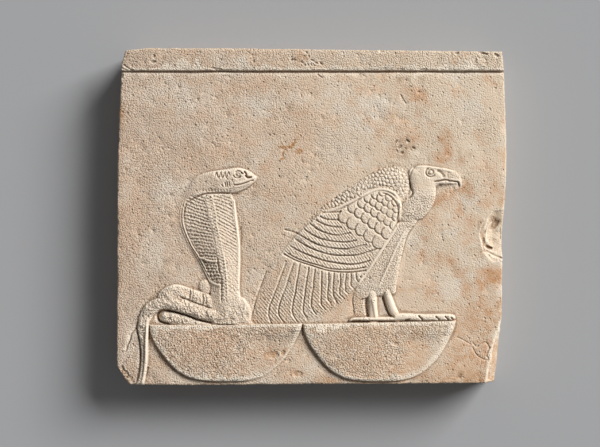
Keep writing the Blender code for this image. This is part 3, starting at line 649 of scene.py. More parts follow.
def fray(position, seed):
    """From 0 to 1 along an edge: mostly low, with a few small bites."""
    waver = 0.25 + 0.25 * noise(position, position * 0, 0.0045, seed)
    bites = np.maximum(noise(position, position * 0, 0.0013, seed + 10) - 0.35, 0)
    return np.clip(waver + bites, 0, 1)


def carve_band():
    """A flat band along the top of the face, its lower edge sloping down to a thin groove."""
    x, y = spread(whole)
    worn = 0.00025 * layered(x, y, 0.004, 61)
    above = y - PLAQUE_HEIGHT / 2 + BAND_WIDTH + 0.0003 + 0.35 * worn
    face[:] += BAND_RISE * np.clip(above / 0.0004, 0, 1)
    face[:] -= 0.0007 * np.exp(-((above / 0.00038 + 0.7) ** 2))


def carve_basket(origin, left_rim, right_rim, lower):
    """A bowl seen from the side, standing flat out of the face, lower on its right by this share."""
    scale = np.array([BASKET_WIDTH / 2, BASKET_DEPTH])
    line = curve(BASKET_CURVE) * scale
    tilt = np.interp(line[:, 0], [-scale[0], scale[0]], [left_rim, right_rim])
    line[:, 1] += tilt * (1 + line[:, 1] / scale[1])
    rim = [[scale[0], right_rim], [-scale[0], left_rim]]
    line = np.vstack([line, rim]) + np.array(origin)
    area = window(line, MARGIN)
    depth = depth_inside(line, area)
    x, y = spread(area)
    across = (x - origin[0]) / scale[0]
    drop = (origin[1] - y) / scale[1]
    rise = BASKET_RISE * (1 - lower * soft_step((across + 0.1) / 0.7) * soft_step((drop - 0.05) / 0.3))
    crown = 0.0002 * soft_step(2 * depth / BASKET_DEPTH)
    lift(face, area, (rise + crown) * soft_step(depth / 0.0005))


def carve_hood():
    """The spread hood and the neck, ridged along the middle."""
    area, x, y = patch(cobra, [(-50, 0), (30, 134)], MARGIN)
    left = width_at(HOOD_LEFT, y)
    right = width_at(HOOD_RIGHT, y)
    crest_left = width_at(CREST_LEFT, y)
    crest_right = width_at(CREST_RIGHT, y)
    left_rise = np.interp(y, [2, 26, 44, 70, 130], [0.3, 0.24, 0.08, 0.04, 0.03])
    crest_rise = np.interp(y, [2, 20, 50, 90, 110, 121, 131], [0.5, 0.6, 0.72, 0.82, 0.66, 0.46, 0.34])
    right_rise = np.interp(y, [2, 20, 60, 110, 130], [0.22, 0.28, 0.22, 0.18, 0.16])
    from_left = np.clip((x - left) / (crest_left - left), 0, 1)
    from_right = np.clip((right - x) / (right - crest_right), 0, 1)
    left_side = left_rise + (crest_rise - left_rise) * from_left
    right_side = right_rise + (crest_rise - right_rise) * from_right**0.8
    wall = quarter_round((x - left) * cobra[2], 0.0005) * quarter_round((right - x) * cobra[2], 0.0011)
    within = (x > left) & (x < right) & (y > 1) & (y < 133)
    lift(face, area, COBRA_RISE * np.minimum(left_side, right_side) * wall, within)


def carve_cobra():
    """The coils, the hood, the tail and the head, from the ground up."""
    raise_shape(cobra, REAR_COIL, 0.42, 7)
    raise_shape(cobra, NECK_LUMP, 0.22, 6)
    carve_hood()
    raise_shape(cobra, BODY_FOOT, 0.34, 11, 0.1)
    raise_shape(cobra, UNDER_COIL, 0.2, 3, 0.5)
    raise_cord(cobra, LOW_COIL, [6, 5.5, 3], [0.42, 0.4, 0.3])
    raise_cord(cobra, MAIN_COIL, [7.4, 7, 7.6, 7.4, 7.2, 6.4, 5.6], [0.42, 0.58, 0.72, 0.74, 0.68, 0.5, 0.38])
    raise_cord(cobra, TAIL, [6.2, 4.8, 4.2, 4.4], [0.42, 0.32, 0.26, 0.24])
    raise_shape(cobra, COBRA_HEAD, [(-45, 0.04), (-30, 0.2), (-8, 0.46), (10, 0.46), (31, 0.3)], 7, 0.1)


def carve_wing_mass(outline, rises, rounding, low_share):
    """A closed outline that stands lower towards the tips of the long feathers."""
    area = window(outline, MARGIN)
    depth = depth_inside(outline, area)
    x, y = steps(vulture, area)
    rise = VULTURE_RISE * np.interp(0.55 * x + 0.83 * y, [-70, -35, 0, 30, 60, 110, 130], rises)
    rounded = soft_step(depth / (rounding * vulture[2])) ** 0.7
    height = rise * (low_share + (1 - low_share) * rounded) * soft_step(depth / 0.0004)
    lift(face, area, height, depth > 0)


def carve_vulture():
    """The back, the body, the neck and head, the wing over them, and the legs and feet."""
    carve_wing_mass(back_outline, [0, 0.02, 0.06, 0.16, 0.3, 0.5, 0.52], 12, 0.1)
    raise_shape(vulture, FAR_THIGH, 0.08, 3)
    raise_shape(vulture, BODY, [(-26, 0.1), (-6, 0.28), (20, 0.4)], 5, 0.15)
    raise_shape(vulture, NECK, 0.42, 9, 0.1)
    raise_shape(vulture, VULTURE_BEAK, [(62, 0.22), (74, 0.17), (83, 0.1)], 2.5, 0.3)
    raise_shape(vulture, VULTURE_SKULL, [(31, 0.24), (45, 0.42), (60, 0.26), (70, 0.22)], 7, 0.12)
    carve_wing_mass(wing_outline, [0.02, 0.05, 0.13, 0.28, 0.46, 0.66, 0.68], 3, 0.4)
    raise_cord(vulture, NEAR_LEG, [4.6, 4.4, 5], [0.4, 0.42, 0.36])
    raise_cord(vulture, FAR_LEG, [3.6, 4.5, 4.3], [0.5, 0.54, 0.44])
    raise_cord(vulture, NEAR_FOOT, [1.2, 2, 2.2, 2.2], [0.5, 0.6, 0.6, 0.6])
    raise_shape(vulture, FAR_FOOT, 0.62, 2.8, 0.2)
    for leg in (NEAR_LEG, FAR_LEG):
        line = place(vulture, curve(leg))
        area = window(line, 6 * vulture[2])
        lift(smooth, area, 0.7 * soft_step(5 - along(line, area)[0] / vulture[2]))


def carve_breaks():
    """Lost stone along the right edge: a shell-shaped scoop above, and a long slant below."""
    x, y = spread(whole)
    inward = slab_sides(x, y)[1] - x
    from_middle = y + 0.049 * PLAQUE_HEIGHT
    waver = 0.14 * noise(x, y, 0.0025, 31)
    ledge = 1 - ((from_middle + 0.0006) / (UPPER_BREAK_LENGTH / 2)) ** 2
    ledge = ledge - ((inward - 0.0024) / (UPPER_BREAK_REACH - 0.0010)) ** 2 + waver
    scoop = 1 - (from_middle / (0.42 * UPPER_BREAK_LENGTH)) ** 2
    scoop = scoop - (np.maximum(inward - 0.0030, 0) / (0.57 * UPPER_BREAK_REACH)) ** 2 + waver
    lower = soft_step((UPPER_BREAK_LENGTH / 2 - from_middle) / (0.5 * UPPER_BREAK_LENGTH))
    face[:] -= UPPER_LEDGE_DEPTH * lower * np.clip(8 * ledge, 0, 1)
    face[:] -= UPPER_BREAK_DEPTH * np.clip(scoop, 0, 1) ** 0.8
    rising = np.clip((y + PLAQUE_HEIGHT / 2) / LONG_BREAK_LENGTH, 0, 1)
    reach = LONG_BREAK_REACH * (1 - rising**2.2) + 0.0002 * noise(x * 0, y, 0.003, 32)
    slant = (reach - inward) / LONG_BREAK_REACH
    lost = (slant > 0) & (rising < 1)
    uneven = 0.0004 * layered(x, y, 0.003, 33) * np.clip(4 * slant, 0, 1)
    face[:] = np.where(lost, np.minimum(face, 0.0002 - LONG_BREAK_DEPTH * slant + uneven), face)
    foot = soft_step((-0.0040 - from_middle) / 0.0040)
    return np.clip(soft_step(scoop * 8) + foot * soft_step(ledge * 8), 0, 1) + np.where(lost, 1, 0)


def wave(phase, sharpness=0.34):
    """Rounded furrows, one for each whole step of the phase, from 0 on the ridges to 1 in the furrows."""
    off = np.abs(phase - np.floor(phase) - 0.5)
    return np.clip(1 - (off / sharpness) ** 2, 0, 1)


def lay_furrows(area, depth, row, run, gap):
    """Cut rows of rounded furrows, broken once in each step of the run, and keep them for the finish."""
    part = run + 0.618 * np.floor(row)
    ends = between(part - np.floor(part), 0, 1, 0.2, 0.2)
    lines[area] -= 0.7 * depth * wave(row) * (1 - gap * (1 - ends))
    stronger = depth > furrow_depth[area]
    for kept, value in ((furrow_row, row), (furrow_run, run), (furrow_gap, gap), (furrow_depth, depth)):
        kept[area] = np.where(stronger, value, kept[area])


def strokes(depth, x, y, turn, pitch, length, seed, wander=0.5, gap=1.0):
    """Chisel strokes turned by this angle over the whole face, where their depth isn't nothing."""
    down, across = turned(x, y, math.radians(turn))
    across = across + wander * noise(x, y, 6 * pitch, seed)
    across = across + 0.3 * wander * noise(x, y, 1.5 * pitch, seed + 1)
    lay_furrows(whole, depth, across / pitch, down / length, gap)


def tufts(x, y, turn, pitch, length, seed):
    """Lapped leaf shapes set at random: 1 in the lines between them, 0 on the leaves."""
    down, across = turned(x, y, math.radians(turn))
    u = down / length
    v = across / pitch
    table = np.random.RandomState(seed).rand(NOISE_CELLS, NOISE_CELLS, 2) * 0.7
    nearest = np.full(u.shape, 9.0)
    second = np.full(u.shape, 9.0)
    for i in (-1, 0, 1):
        for j in (-1, 0, 1):
            column = np.floor(u).astype(int) + i
            row = np.floor(v).astype(int) + j
            shift = table[row % NOISE_CELLS, column % NOISE_CELLS]
            away = np.hypot(column + 0.5 * (row % 2) + shift[..., 0] - u, row + shift[..., 1] - v)
            second = np.minimum(second, np.maximum(away, nearest))
            nearest = np.minimum(nearest, away)
    return 1 - soft_step((second - nearest) / 0.32)


def carve_scales():
    """Ribs across both halves of the hood, and a ladder of small plates down its middle."""
    area, x, y = patch(cobra, [(-50, 14), (30, 134)])
    rim_left = width_at(HOOD_RIM_LEFT, y)
    rim_right = width_at(HOOD_RIM_RIGHT, y)
    plate_left = width_at(LADDER_LEFT, y)
    plate_right = width_at(LADDER_RIGHT, y)
    waver = 0.9 * noise(x, y, 9, 71) + 0.6 * noise(x, y, 3.4, 72)
    worn = 0.72 + 0.3 * noise(x, y, 5, 77)
    left_half = between(x, rim_left, plate_left, 1.5, 1.5) * between(y, 39.5, 130, 2, 3)
    lean = np.interp(y, [55, 80, 100, 125], [0, 0.1, 0.28, 0.36])
    phase = (y + lean * (x + 30) + waver) / 3.35
    joint = (x + 1.5 * waver) / 3.3 + 0.5 * (np.floor(phase) % 2)
    lay_furrows(area, 0.00056 * left_half * worn, phase, x / 9, 0.35)
    lines[area] -= left_half * np.interp(y, [60, 85], [0.00036, 0.00026]) * wave(joint, 0.24)
    right_half = between(x, plate_right, rim_right, 1.5, 1.5) * soft_step((130 - y) / 3)
    ribbed = right_half * np.interp(y, [66, 80], [0, 1])
    slope = np.interp(y, [30, 60, 100, 125], [0.7, 0.62, 0.5, 0.36])
    lay_furrows(area, 0.00058 * ribbed * worn, (y + slope * (x + 4) + waver) / 3.25, x / 7, 0.5)
    netted = right_half * np.interp(y, [24, 34, 68, 78], [0, 1, 1, 0])
    net = np.maximum(
        wave((1.1 * x + y + 1.5 * waver) / 4.0, 0.24),
        wave((1.2 * x - y + 1.5 * waver) / 4.6, 0.2),
    )
    lines[area] -= netted * 0.00056 * net * worn
    ladder = between(x, plate_left, plate_right, 1, 1) * soft_step((y - 22) / 4)
    column = np.where(x > (plate_left + plate_right) / 2, 0.5, 0.0)
    rungs = wave((y + 0.12 * x + 0.3 * waver) / 3.3 + column, 0.24)
    lines[area] += ladder * (0.00012 - 0.00056 * rungs * worn)
    for edge, depth in ((plate_left, 0.00100), (plate_right - 1.2, 0.00014)):
        near = bell(x - edge, 0.8) * between(y, 20, 131, 4, 2)
        lines[area] -= depth * near * (0.7 + 0.5 * noise(x, y, 3, 73)) * np.interp(y, [84, 97], [1, 0.2])
    from_rim = x - width_at(HOOD_LEFT, y)
    for inward, width, rise in HOOD_BORDER:
        lines[area] += between(y, 44, 126, 5, 5) * rise / 1000 * bell(from_rim - inward, width)
    bead = bell(x - plate_right - 0.3, 0.8) * between(y, 26, 131, 6, 2)
    lines[area] += 0.00036 * bead * (0.6 + 0.4 * wave(y / 3.3, 0.4))


def carve_cobra_skin():
    """Fine scales on the coils, short strokes under the head, and the eye."""
    area, x, y = patch(cobra, [(-92, -64), (28, 44)])
    coils = (y > 0.5) | (x < -76.5)
    not_hood = 1 - soft_step((y - 14 - 0.1 * x) / 6) * soft_step((x + 17) / 3)
    skin = coils * soft_step((face[area] - 0.0007) / 0.0006) * not_hood
    pebbles = np.maximum(
        wave((x + 0.4 * y) / 2.6 + 0.3 * noise(x, y, 3, 75)),
        wave((y - 0.2 * x) / 2.4 + 0.3 * noise(x, y, 3, 76)),
    )
    lines[area] -= skin * (0.0003 * pebbles + 0.0003 * noise(x, y, 1.7, 78) + 0.00038 * noise(x, y, 4.1, 79))
    lift(pitted, area, 1.3 * skin)
    lift(smooth, whole, 0.3 * inside(cobra, COBRA_HEAD, 2))
    for number in range(10):
        stroke = place(cobra, [(-24 + 3 * number, 135.6), (-22.8 + 3 * number, 132.6)])
        cut_groove(stroke, 1.3 * cobra[2], 0.0003)
    carve_eye(cobra, (12.2, 149.9), 2.4, 1.0, 0.00070, 0.00040)


def carve_eye(figure, centre, ring, pupil, depth, rise):
    """A ring cut round a raised pupil."""
    area, x, y = patch(figure, [centre], 3 * ring * figure[2])
    away = np.hypot(x - centre[0], (y - centre[1]) * 1.1)
    facing = soft_step((centre[0] - x + centre[1] - y) / 6 + 0.7)
    lines[area] -= depth * facing * bell(away - ring, 0.75)
    lines[area] -= 0.7 * depth * bell(away - pupil, 0.7)
    lines[area] += rise * np.clip(1 - (away / pupil) ** 2, 0, 1)


def carve_small_feathers():
    """Rows of rounded feathers that lap over each other like tiles, the last row on top."""
    layer = np.zeros_like(face)
    for first, last, count, first_size, last_size in SMALL_FEATHERS:
        for number in range(count):
            share = number / (count - 1)
            centre = np.array(first) + (np.array(last) - np.array(first)) * share
            size = first_size + (last_size - first_size) * share
            area, x, y = patch(vulture, [centre], 1.6 * size * vulture[2])
            x = x - centre[0]
            y = y - centre[1]
            away = np.hypot(x, y) + 0.18 * noise(x, y, 2.5, 80 + number)
            facing = -(0.72 * x + 0.69 * y) / np.maximum(away, 0.1)
            lean = np.clip(0.5 + 0.5 * facing * np.minimum(away / size, 1), 0, 1)
            dome = 0.00004 + 0.00013 * lean * (1 - np.clip(away / size, 0, 1) ** 8)
            dome = dome + 0.00005 * noise(x, y, 1.6, 90 + number)
            ring = min(0.00015 * size, 0.00066) * bell(away - size - 0.1, 0.6)
            ring = ring * soft_step((facing + 0.45) / 0.6)
            layer[area] = np.where(away < size, dome, layer[area]) - ring
    lines[:] += layer * mask_of(place(vulture, curve(FEATHERED, True)), 0.0006)


def carve_plumage():
    """Barbs on the long feathers and the bands, tufts on the ruff, the neck and the body, and the eye."""
    x, y = steps(vulture, whole)
    back = mask_of(back_outline, 2 * vulture[2])
    wing = mask_of(wing_outline, 2 * vulture[2])
    beside = 1 - mask_of(wing_outline, 9 * vulture[2])
    bands = mask_of(place(vulture, BARBED_BANDS), 2 * vulture[2])
    plain = mask_of(place(vulture, PLAIN_BAND), 2 * vulture[2])
    body = np.maximum(inside(vulture, BODY, 3), inside(vulture, FAR_THIGH, 2))
    neck = inside(vulture, NECK, 3)
    head = inside(vulture, VULTURE_SKULL, 3)
    worn_barbs = 0.85 + 0.45 * layered(x, y, 11, 102, 2)
    strokes(0.00027 * worn_barbs * bands * wing * (1 - plain), x, y, -54, 2.45, 6, 101, 0.9, 0.6)
    strokes(0.00024 * plain * wing, x, y, -40, 2.4, 4, 104)
    long_feathers = wing * (1 - bands) * soft_step((50 - y) / 6)
    strokes(0.00024 * long_feathers * soft_step((42 - y) / 20), x, y, -48, 2.6, 7, 107, 0.9, 0.6)
    ragged = 0.25 * layered(x, y, 9, 109, 2)
    ruff = back * beside**1.5 * (1 - neck) * (1 - head) * soft_step((y - 66) / 40 + ragged)
    upper = soft_step((0.7 * x + 0.7 * y - 62) / 26)
    lines[:] -= 0.00064 * ruff * (1 - upper) * tufts(x, y, -58, 3.0, 6.4, 111)
    lines[:] -= 0.00052 * ruff * upper * tufts(x, y, -62, 3.4, 4.4, 113)
    body_skin = body * (1 - wing)
    neck_skin = neck * (1 - head) * soft_step((127 - y) / 4)
    lines[:] -= 0.00030 * body_skin * tufts(x, y, -50, 1.9, 2.6, 117)
    lines[:] -= 0.00028 * neck_skin * tufts(x, y, -45, 2.0, 3.0, 120)
    barbed = np.maximum(0.75 * long_feathers, wing * (0.45 + 0.3 * plain))
    for coarse in (0.85 * ruff, 0.9 * body_skin, 1.15 * neck_skin, barbed):
        lift(pitted, whole, coarse)
    lift(smooth, whole, 0.4 * head)
    carve_eye(vulture, (51.3, 147.7), 4.9, 2.5, 0.00084, 0.00044)


def cut_all(figure, grooves, ridges):
    """Cut each named groove and leave each named ridge; their depths are in millimetres."""
    for points, width, depth in grooves:
        cut_groove(place(figure, curve(points)), width * figure[2], depth / 1000)
    for points, width, rise in ridges:
        cut_groove(place(figure, curve(points)), width * figure[2], -rise / 1000, 0.06)


def carve_lines():
    """All the fine carving, in the order of cutting."""
    step = vulture[2]
    carve_small_feathers()
    for points in WING_LINES:
        line = place(vulture, curve(points))
        lap(line, 4 * step, 0.00028)
        cut_groove(line, 2 * step, 0.00095, 0.03)
    for top_x, top_y, bend_x, bend_y, tip_x, tip_y in FEATHERS:
        middle = ((top_x + bend_x) / 2, (top_y + bend_y) / 2)
        line = place(vulture, curve([(top_x, top_y), middle, (bend_x, bend_y), (tip_x, tip_y)]))
        line[:, 0] += 0.5 * step * noise(line[:, 0], line[:, 1], 0.0022, 141)
        cut_groove(line, 1.9 * step, 0.00070, 0.04)
        cut_groove(line - np.array([1.6 * step, 0]), 1.8 * step, -0.00024, 0.05)
    carve_plumage()
    cut_all(vulture, VULTURE_GROOVES, VULTURE_RIDGES)
    carve_scales()
    carve_cobra_skin()
    cut_all(cobra, COBRA_GROOVES, COBRA_RIDGES)


def carve_ground(figures):
    """The ground: sunk a little round the figures, and uneven."""
    near = blur(np.clip(figures / 0.0012, 0, 1), DIP_REACH)
    face[:] -= GROUND_DIP * (1 - soft_step(figures / 0.0004)) * np.clip(near * 1.6, 0, 1)
    face[:] += 0.0002 * layered(*spread(whole), 0.014, 131, 2)


def roughen():
    """How coarse the surface is: coarse on the baskets and the band, finer towards the right."""
    x, y = spread(whole)
    patches = 0.16 * layered(x, y, 0.012, 191)
    open_ground = np.interp(x, [-0.078, -0.03, 0, 0.03, 0.078], [0.8, 0.66, 0.5, 0.36, 0.34]) + patches
    lift(pitted, whole, np.where(y > PLAQUE_HEIGHT / 2 - BAND_WIDTH, 0.85 + patches, open_ground))
    for figure, coarse in ((cobra, 1.45), (vulture, 1.2)):
        basket = window(np.array(figure[:2]) + BASKET_WIDTH * np.array([[-0.5, -0.4], [0.5, 0]]), 0)
        within = (face[basket] > 0.7 * BASKET_RISE) & (spread(basket)[1] < figure[1])
        pitted[basket] = np.where(within, coarse + 0.5 * patches[basket], pitted[basket])
    pitted[:] *= 1 - smooth


def cut_pits():
    """Small pits all over the face, some in clusters, each longer one way than the other."""
    draw = np.random.RandomState(7)
    cluster_x = draw.uniform(-0.5, 0.5, PIT_CLUSTERS) * PLAQUE_WIDTH
    cluster_y = draw.uniform(-0.5, 0.5, PIT_CLUSTERS) * PLAQUE_HEIGHT
    for _ in range(PIT_TRIES):
        if draw.rand() < 0.25:
            pick = draw.randint(PIT_CLUSTERS)
            x0 = cluster_x[pick] + draw.normal(0, 0.0035)
            y0 = cluster_y[pick] + draw.normal(0, 0.0030)
        else:
            x0 = draw.uniform(-0.5, 0.5) * PLAQUE_WIDTH
            y0 = draw.uniform(-0.5, 0.5) * PLAQUE_HEIGHT
        size = 0.00022 + 0.00042 * draw.rand() ** 3
        stretch = draw.uniform(1.0, 1.9)
        turn = draw.uniform(0, math.pi)
        depth = size * draw.uniform(0.45, 0.8)
        if draw.rand() < coarseness(x0, y0):
            area, hollow = oval(x0, y0, size * stretch, size, turn, size * stretch + RASTER)
            face[area] -= depth * np.clip(hollow, 0, 1)


def coarseness(x0, y0):
    """How coarse the surface is at a point, as a chance of a pit there."""
    column = np.clip(np.searchsorted(xs, x0), 0, len(xs) - 1)
    row = np.clip(np.searchsorted(ys, y0), 0, len(ys) - 1)
    return min(pitted[row, column], 0.7) ** 1.6 * (1 - 0.7 * figure_mask[row, column])


def oval(x0, y0, half_long, half_wide, turn, reach):
    """The area within reach of a point, and how far inside an oval there its points lie: 1 in the middle."""
    area = window(np.array([[x0, y0]]), reach)
    x, y = spread(area)
    u, v = turned(x - x0, y - y0, turn)
    return area, 1 - (u / half_long) ** 2 - (v / half_wide) ** 2


def stain_or_shade_mask(patches, seed):
    """How strong one kind of stain, or of painted shade, is over the face, ragged along its edges."""
    area, x, y = patch(slab_grid, [(-196, -170), (196, 170)])
    ragged = 0.46 * layered(x, y, 12, seed, 5)
    mask = np.zeros_like(face)
    for middle_x, middle_y, reach_x, reach_y, strength in patches:
        away = np.hypot((x - middle_x) / reach_x, (y - middle_y) / reach_y) + ragged
        lift(mask, area, strength * soft_step((1.4 - away) / 0.8))
    return mask


def cut_chips():
    """Flakes off the face and the edges with ragged outlines, and scratches, where they lie on the stone."""
    for *sizes, turn, depth in CHIPS:
        x0, y0, half_long, half_wide = np.array(sizes) * SLAB_STEP
        area, hollow = oval(x0, y0, half_long, half_wide, math.radians(turn), 1.4 * max(half_long, half_wide))
        hollow = hollow + 0.3 * noise(*spread(area), 0.6 * half_wide, 201)
        face[area] -= depth / 1000 * np.clip(3 * hollow, 0, 1) * (0.6 + 0.4 * np.clip(hollow, 0, 1))
    for points, width, depth in SCRATCHES:
        line = place(slab_grid, curve(points))
        area = window(line, width * SLAB_STEP)
        away, _ = along(line, area)
        face[area] -= depth / 1000 * np.clip(1 - (2 * away / (width * SLAB_STEP)) ** 2, 0, 1)


# Each figure's grid: where it starts, the size of a step, and how high the figure stands
rim_y = -PLAQUE_HEIGHT / 2 + BOTTOM_MARGIN + BASKET_DEPTH
cobra = (BASKETS_MEET_X - BASKET_WIDTH / 2, rim_y, COBRA_HEIGHT / COBRA_STEPS, COBRA_RISE)
vulture = (BASKETS_MEET_X + BASKET_WIDTH / 2, rim_y + RIM_CLIMB, VULTURE_HEIGHT / VULTURE_STEPS, VULTURE_RISE)
slab_grid = (0, 0, SLAB_STEP)
back_outline = place(vulture, np.vstack([curve(BACK), curve(FEATHER_TIPS + WING_FRONT[:4])]))
wing_outline = place(vulture, np.vstack([curve(WING_FRONT), curve(WING_BACK), curve(FEATHER_TIPS)]))

carve_basket((cobra[0] - 0.00015, rim_y), 0, 0.3 * RIM_CLIMB, 0.72)
carve_basket((vulture[0] + 0.00015, rim_y), 0.2 * RIM_CLIMB, RIM_CLIMB, 0.6)
baskets = face.copy()
carve_cobra()
carve_vulture()
raised = soft_step((face - np.maximum(baskets, 0.00025)) / 0.0006)
raised *= 1 - 0.5 * mask_of(place(cobra, curve(COBRA_HEAD, True)), 0.001)
figure_mask = blur(1.0 * (face > baskets + 0.00001), 0.0008)
carve_ground(face.copy())
carve_band()
carve_lines()
wear = 0.82 + 0.3 * layered(*spread(whole), 0.006, 141, 2)
face += lines * np.clip(wear, 0.35, 1.1)
roughen()
unbroken = face.copy()
cut_chips()
broken = carve_breaks()
fine_parts = 6 * blur(1.0 * ((stain_or_shade_mask(RUST[:8], 221) > 0.1) | (unbroken - face > 0.00003)), 0.0020)
carved_face = face.copy()
cut_pits()


def stand(name, data):
    """A new object of the scene that holds this mesh, light or camera."""
    made = bpy.data.objects.new(name, data)
    bpy.context.scene.collection.objects.link(made)
    return made


def mesh_of(shape, name):
    mesh = bpy.data.meshes.new(name)
    shape.to_mesh(mesh)
    shape.free()
    return mesh


def positions(mesh):
    points = np.empty(len(mesh.vertices) * 3)
    mesh.vertices.foreach_get("co", points)
    return points.reshape(-1, 3).T


def on_slab(u, v, frayed):
    """Points from 0 to 1 across and up, moved to fill the slab's uneven outline."""
    x = (u - 0.5) * PLAQUE_WIDTH
    y = (v - 0.5) * PLAQUE_HEIGHT
    for _ in range(4):
        left, right, bottom, top = slab_sides(x, y, frayed)
        x = left + (right - left) * u
        y = bottom + (top - bottom) * v
    return x, y


def edge_rounding(x, y):
    """How far the worn arris drops below the face near the slab's edge."""
    left, right, bottom, top = slab_sides(x, y)
    inward = np.minimum(np.minimum(x - left, right - x), np.minimum(y - bottom, top - y))
    reach = EDGE_ROUND * (1 + 0.6 * layered(x, y, 0.005, 151))
    return reach * (1 - quarter_round(np.maximum(inward, 0), reach))


def ring_points(across, up):
    """Points once round the border of a unit square, as many as the face grid has there."""
    along_x = np.arange(across) / across
    along_y = np.arange(up) / up
    low = np.column_stack([along_x, 0 * along_x])
    right = np.column_stack([0 * along_y + 1, along_y])
    return np.vstack([low, right, 1 - low, 1 - right]) - 0.5


def order(item):
    """A number for an edge or a face from its points, so that each run keeps them in the same order."""
    numbers = [vert.index for vert in item.verts]
    return min(numbers) * 4000000.0 + sum(numbers)


def build_stone():
    """A ring drawn down the sides and in under the back, then a fine grid for the face joined to it."""
    across = round(PLAQUE_WIDTH / RASTER)
    up = round(PLAQUE_HEIGHT / RASTER)
    rings = [(level, 1.0) for level in [1.0] + SIDE_LEVELS] + [(0.0, share) for share in BACK_SHARES]
    shape = bmesh.new()
    border = bmesh.ops.create_circle(shape, segments=2 * (across + up), radius=0.5)["verts"]
    for vert, point in zip(border, ring_points(across, up)):
        vert.co.xy = point
    edges = list(shape.edges)
    for _ in rings[1:]:
        drawn = bmesh.ops.extrude_edge_only(shape, edges=edges)["geom"]
        edges = [item for item in drawn if isinstance(item, bmesh.types.BMEdge) and item.is_boundary]
        lower = [item for item in drawn if isinstance(item, bmesh.types.BMVert)]
        bmesh.ops.translate(shape, verts=lower, vec=(0, 0, -1))
    bmesh.ops.holes_fill(shape, edges=edges)
    grid = bmesh.ops.create_grid(shape, x_segments=across, y_segments=up, size=0.5)["verts"]
    rim = [vert for vert in grid if vert.is_boundary]
    bmesh.ops.remove_doubles(shape, verts=border + rim, dist=0.00001)
    shape.verts.index_update()
    shape.edges.sort(key=order)
    shape.faces.sort(key=order)
    mesh = mesh_of(shape, "stone")
    ends = np.empty(len(mesh.edges) * 2, np.int32)
    mesh.edges.foreach_get("vertices", ends)
    mesh.edges.foreach_set("vertices", np.sort(ends.reshape(-1, 2)).ravel())
    u, v, down = positions(mesh)
    level, share = np.array(rings)[np.round(-down).astype(int)].T
    x, y = on_slab(0.5 + u * share, 0.5 + v * share, soft_step((level - 0.7) / 0.3))
    z = (SLAB_THICKNESS + sample(face, x, y) - edge_rounding(x, y)) * level
    rough = layered(x * 1.3 + y * 0.7, z - y * 0.3 + x * 0.3, 0.006, 161, 4)
    inward = SIDE_ROUGHNESS * 4 * level * (1 - level) * np.clip(0.6 + 0.55 * rough, 0, 1.4)
    x += inward * (1.0 * (u < -0.4999) - (u > 0.4999))
    y += inward * (1.0 * (v < -0.4999) - (v > 0.4999))
    dressed = layered(x, y, 0.011, 171) + 0.35 * layered(x + 0.5 * y, y * 3, 0.006, 175, 2)
    underside = BACK_ROUGHNESS * np.clip(dressed, 0, 1) * soft_step((1 - share) / 0.02)
    z = np.where(level == 0, underside, z)
    mesh.vertices.foreach_set("co", np.column_stack([x, y, z]).ravel())
    mesh.update()
    return mesh


def thinned(mesh, carved):
    """The mesh with its flat stretches in fewer triangles, and the carved parts kept finer."""
    rough = stand("rough stone", mesh)
    x, y, z = positions(mesh)
    fine = (sample(carved, x, y) > 0.5) & (z > SLAB_THICKNESS - 0.001)
    group = rough.vertex_groups.new(name="plain")
    for chosen, weight in ((~fine, 1.0), (fine, 0.5)):
        group.add(np.flatnonzero(chosen).tolist(), weight, "REPLACE")
    reduce = rough.modifiers.new("fewer triangles", "DECIMATE")
    reduce.vertex_group = group.name
    reduce.vertex_group_factor = FINE_WEIGHT
    reduce.ratio = TRIANGLES / (2 * len(mesh.polygons))
    bpy.context.view_layer.update()
    kept = bpy.data.meshes.new_from_object(rough.evaluated_get(bpy.context.evaluated_depsgraph_get()))
    bpy.data.objects.remove(rough)
    bpy.data.meshes.remove(mesh)
    return kept


def mark(mesh, name, layer, elsewhere=0.0):
    """Keep a raster layer's values on the points of the face, and one value on the sides and the back."""
    x, y, z = positions(mesh)
    on_face = soft_step((z - 0.6 * SLAB_THICKNESS) / 0.002)
    held = mesh.attributes.new(name, "FLOAT", "POINT")
    held.data.foreach_set("value", sample(layer, x, y) * on_face + elsewhere * (1 - on_face))


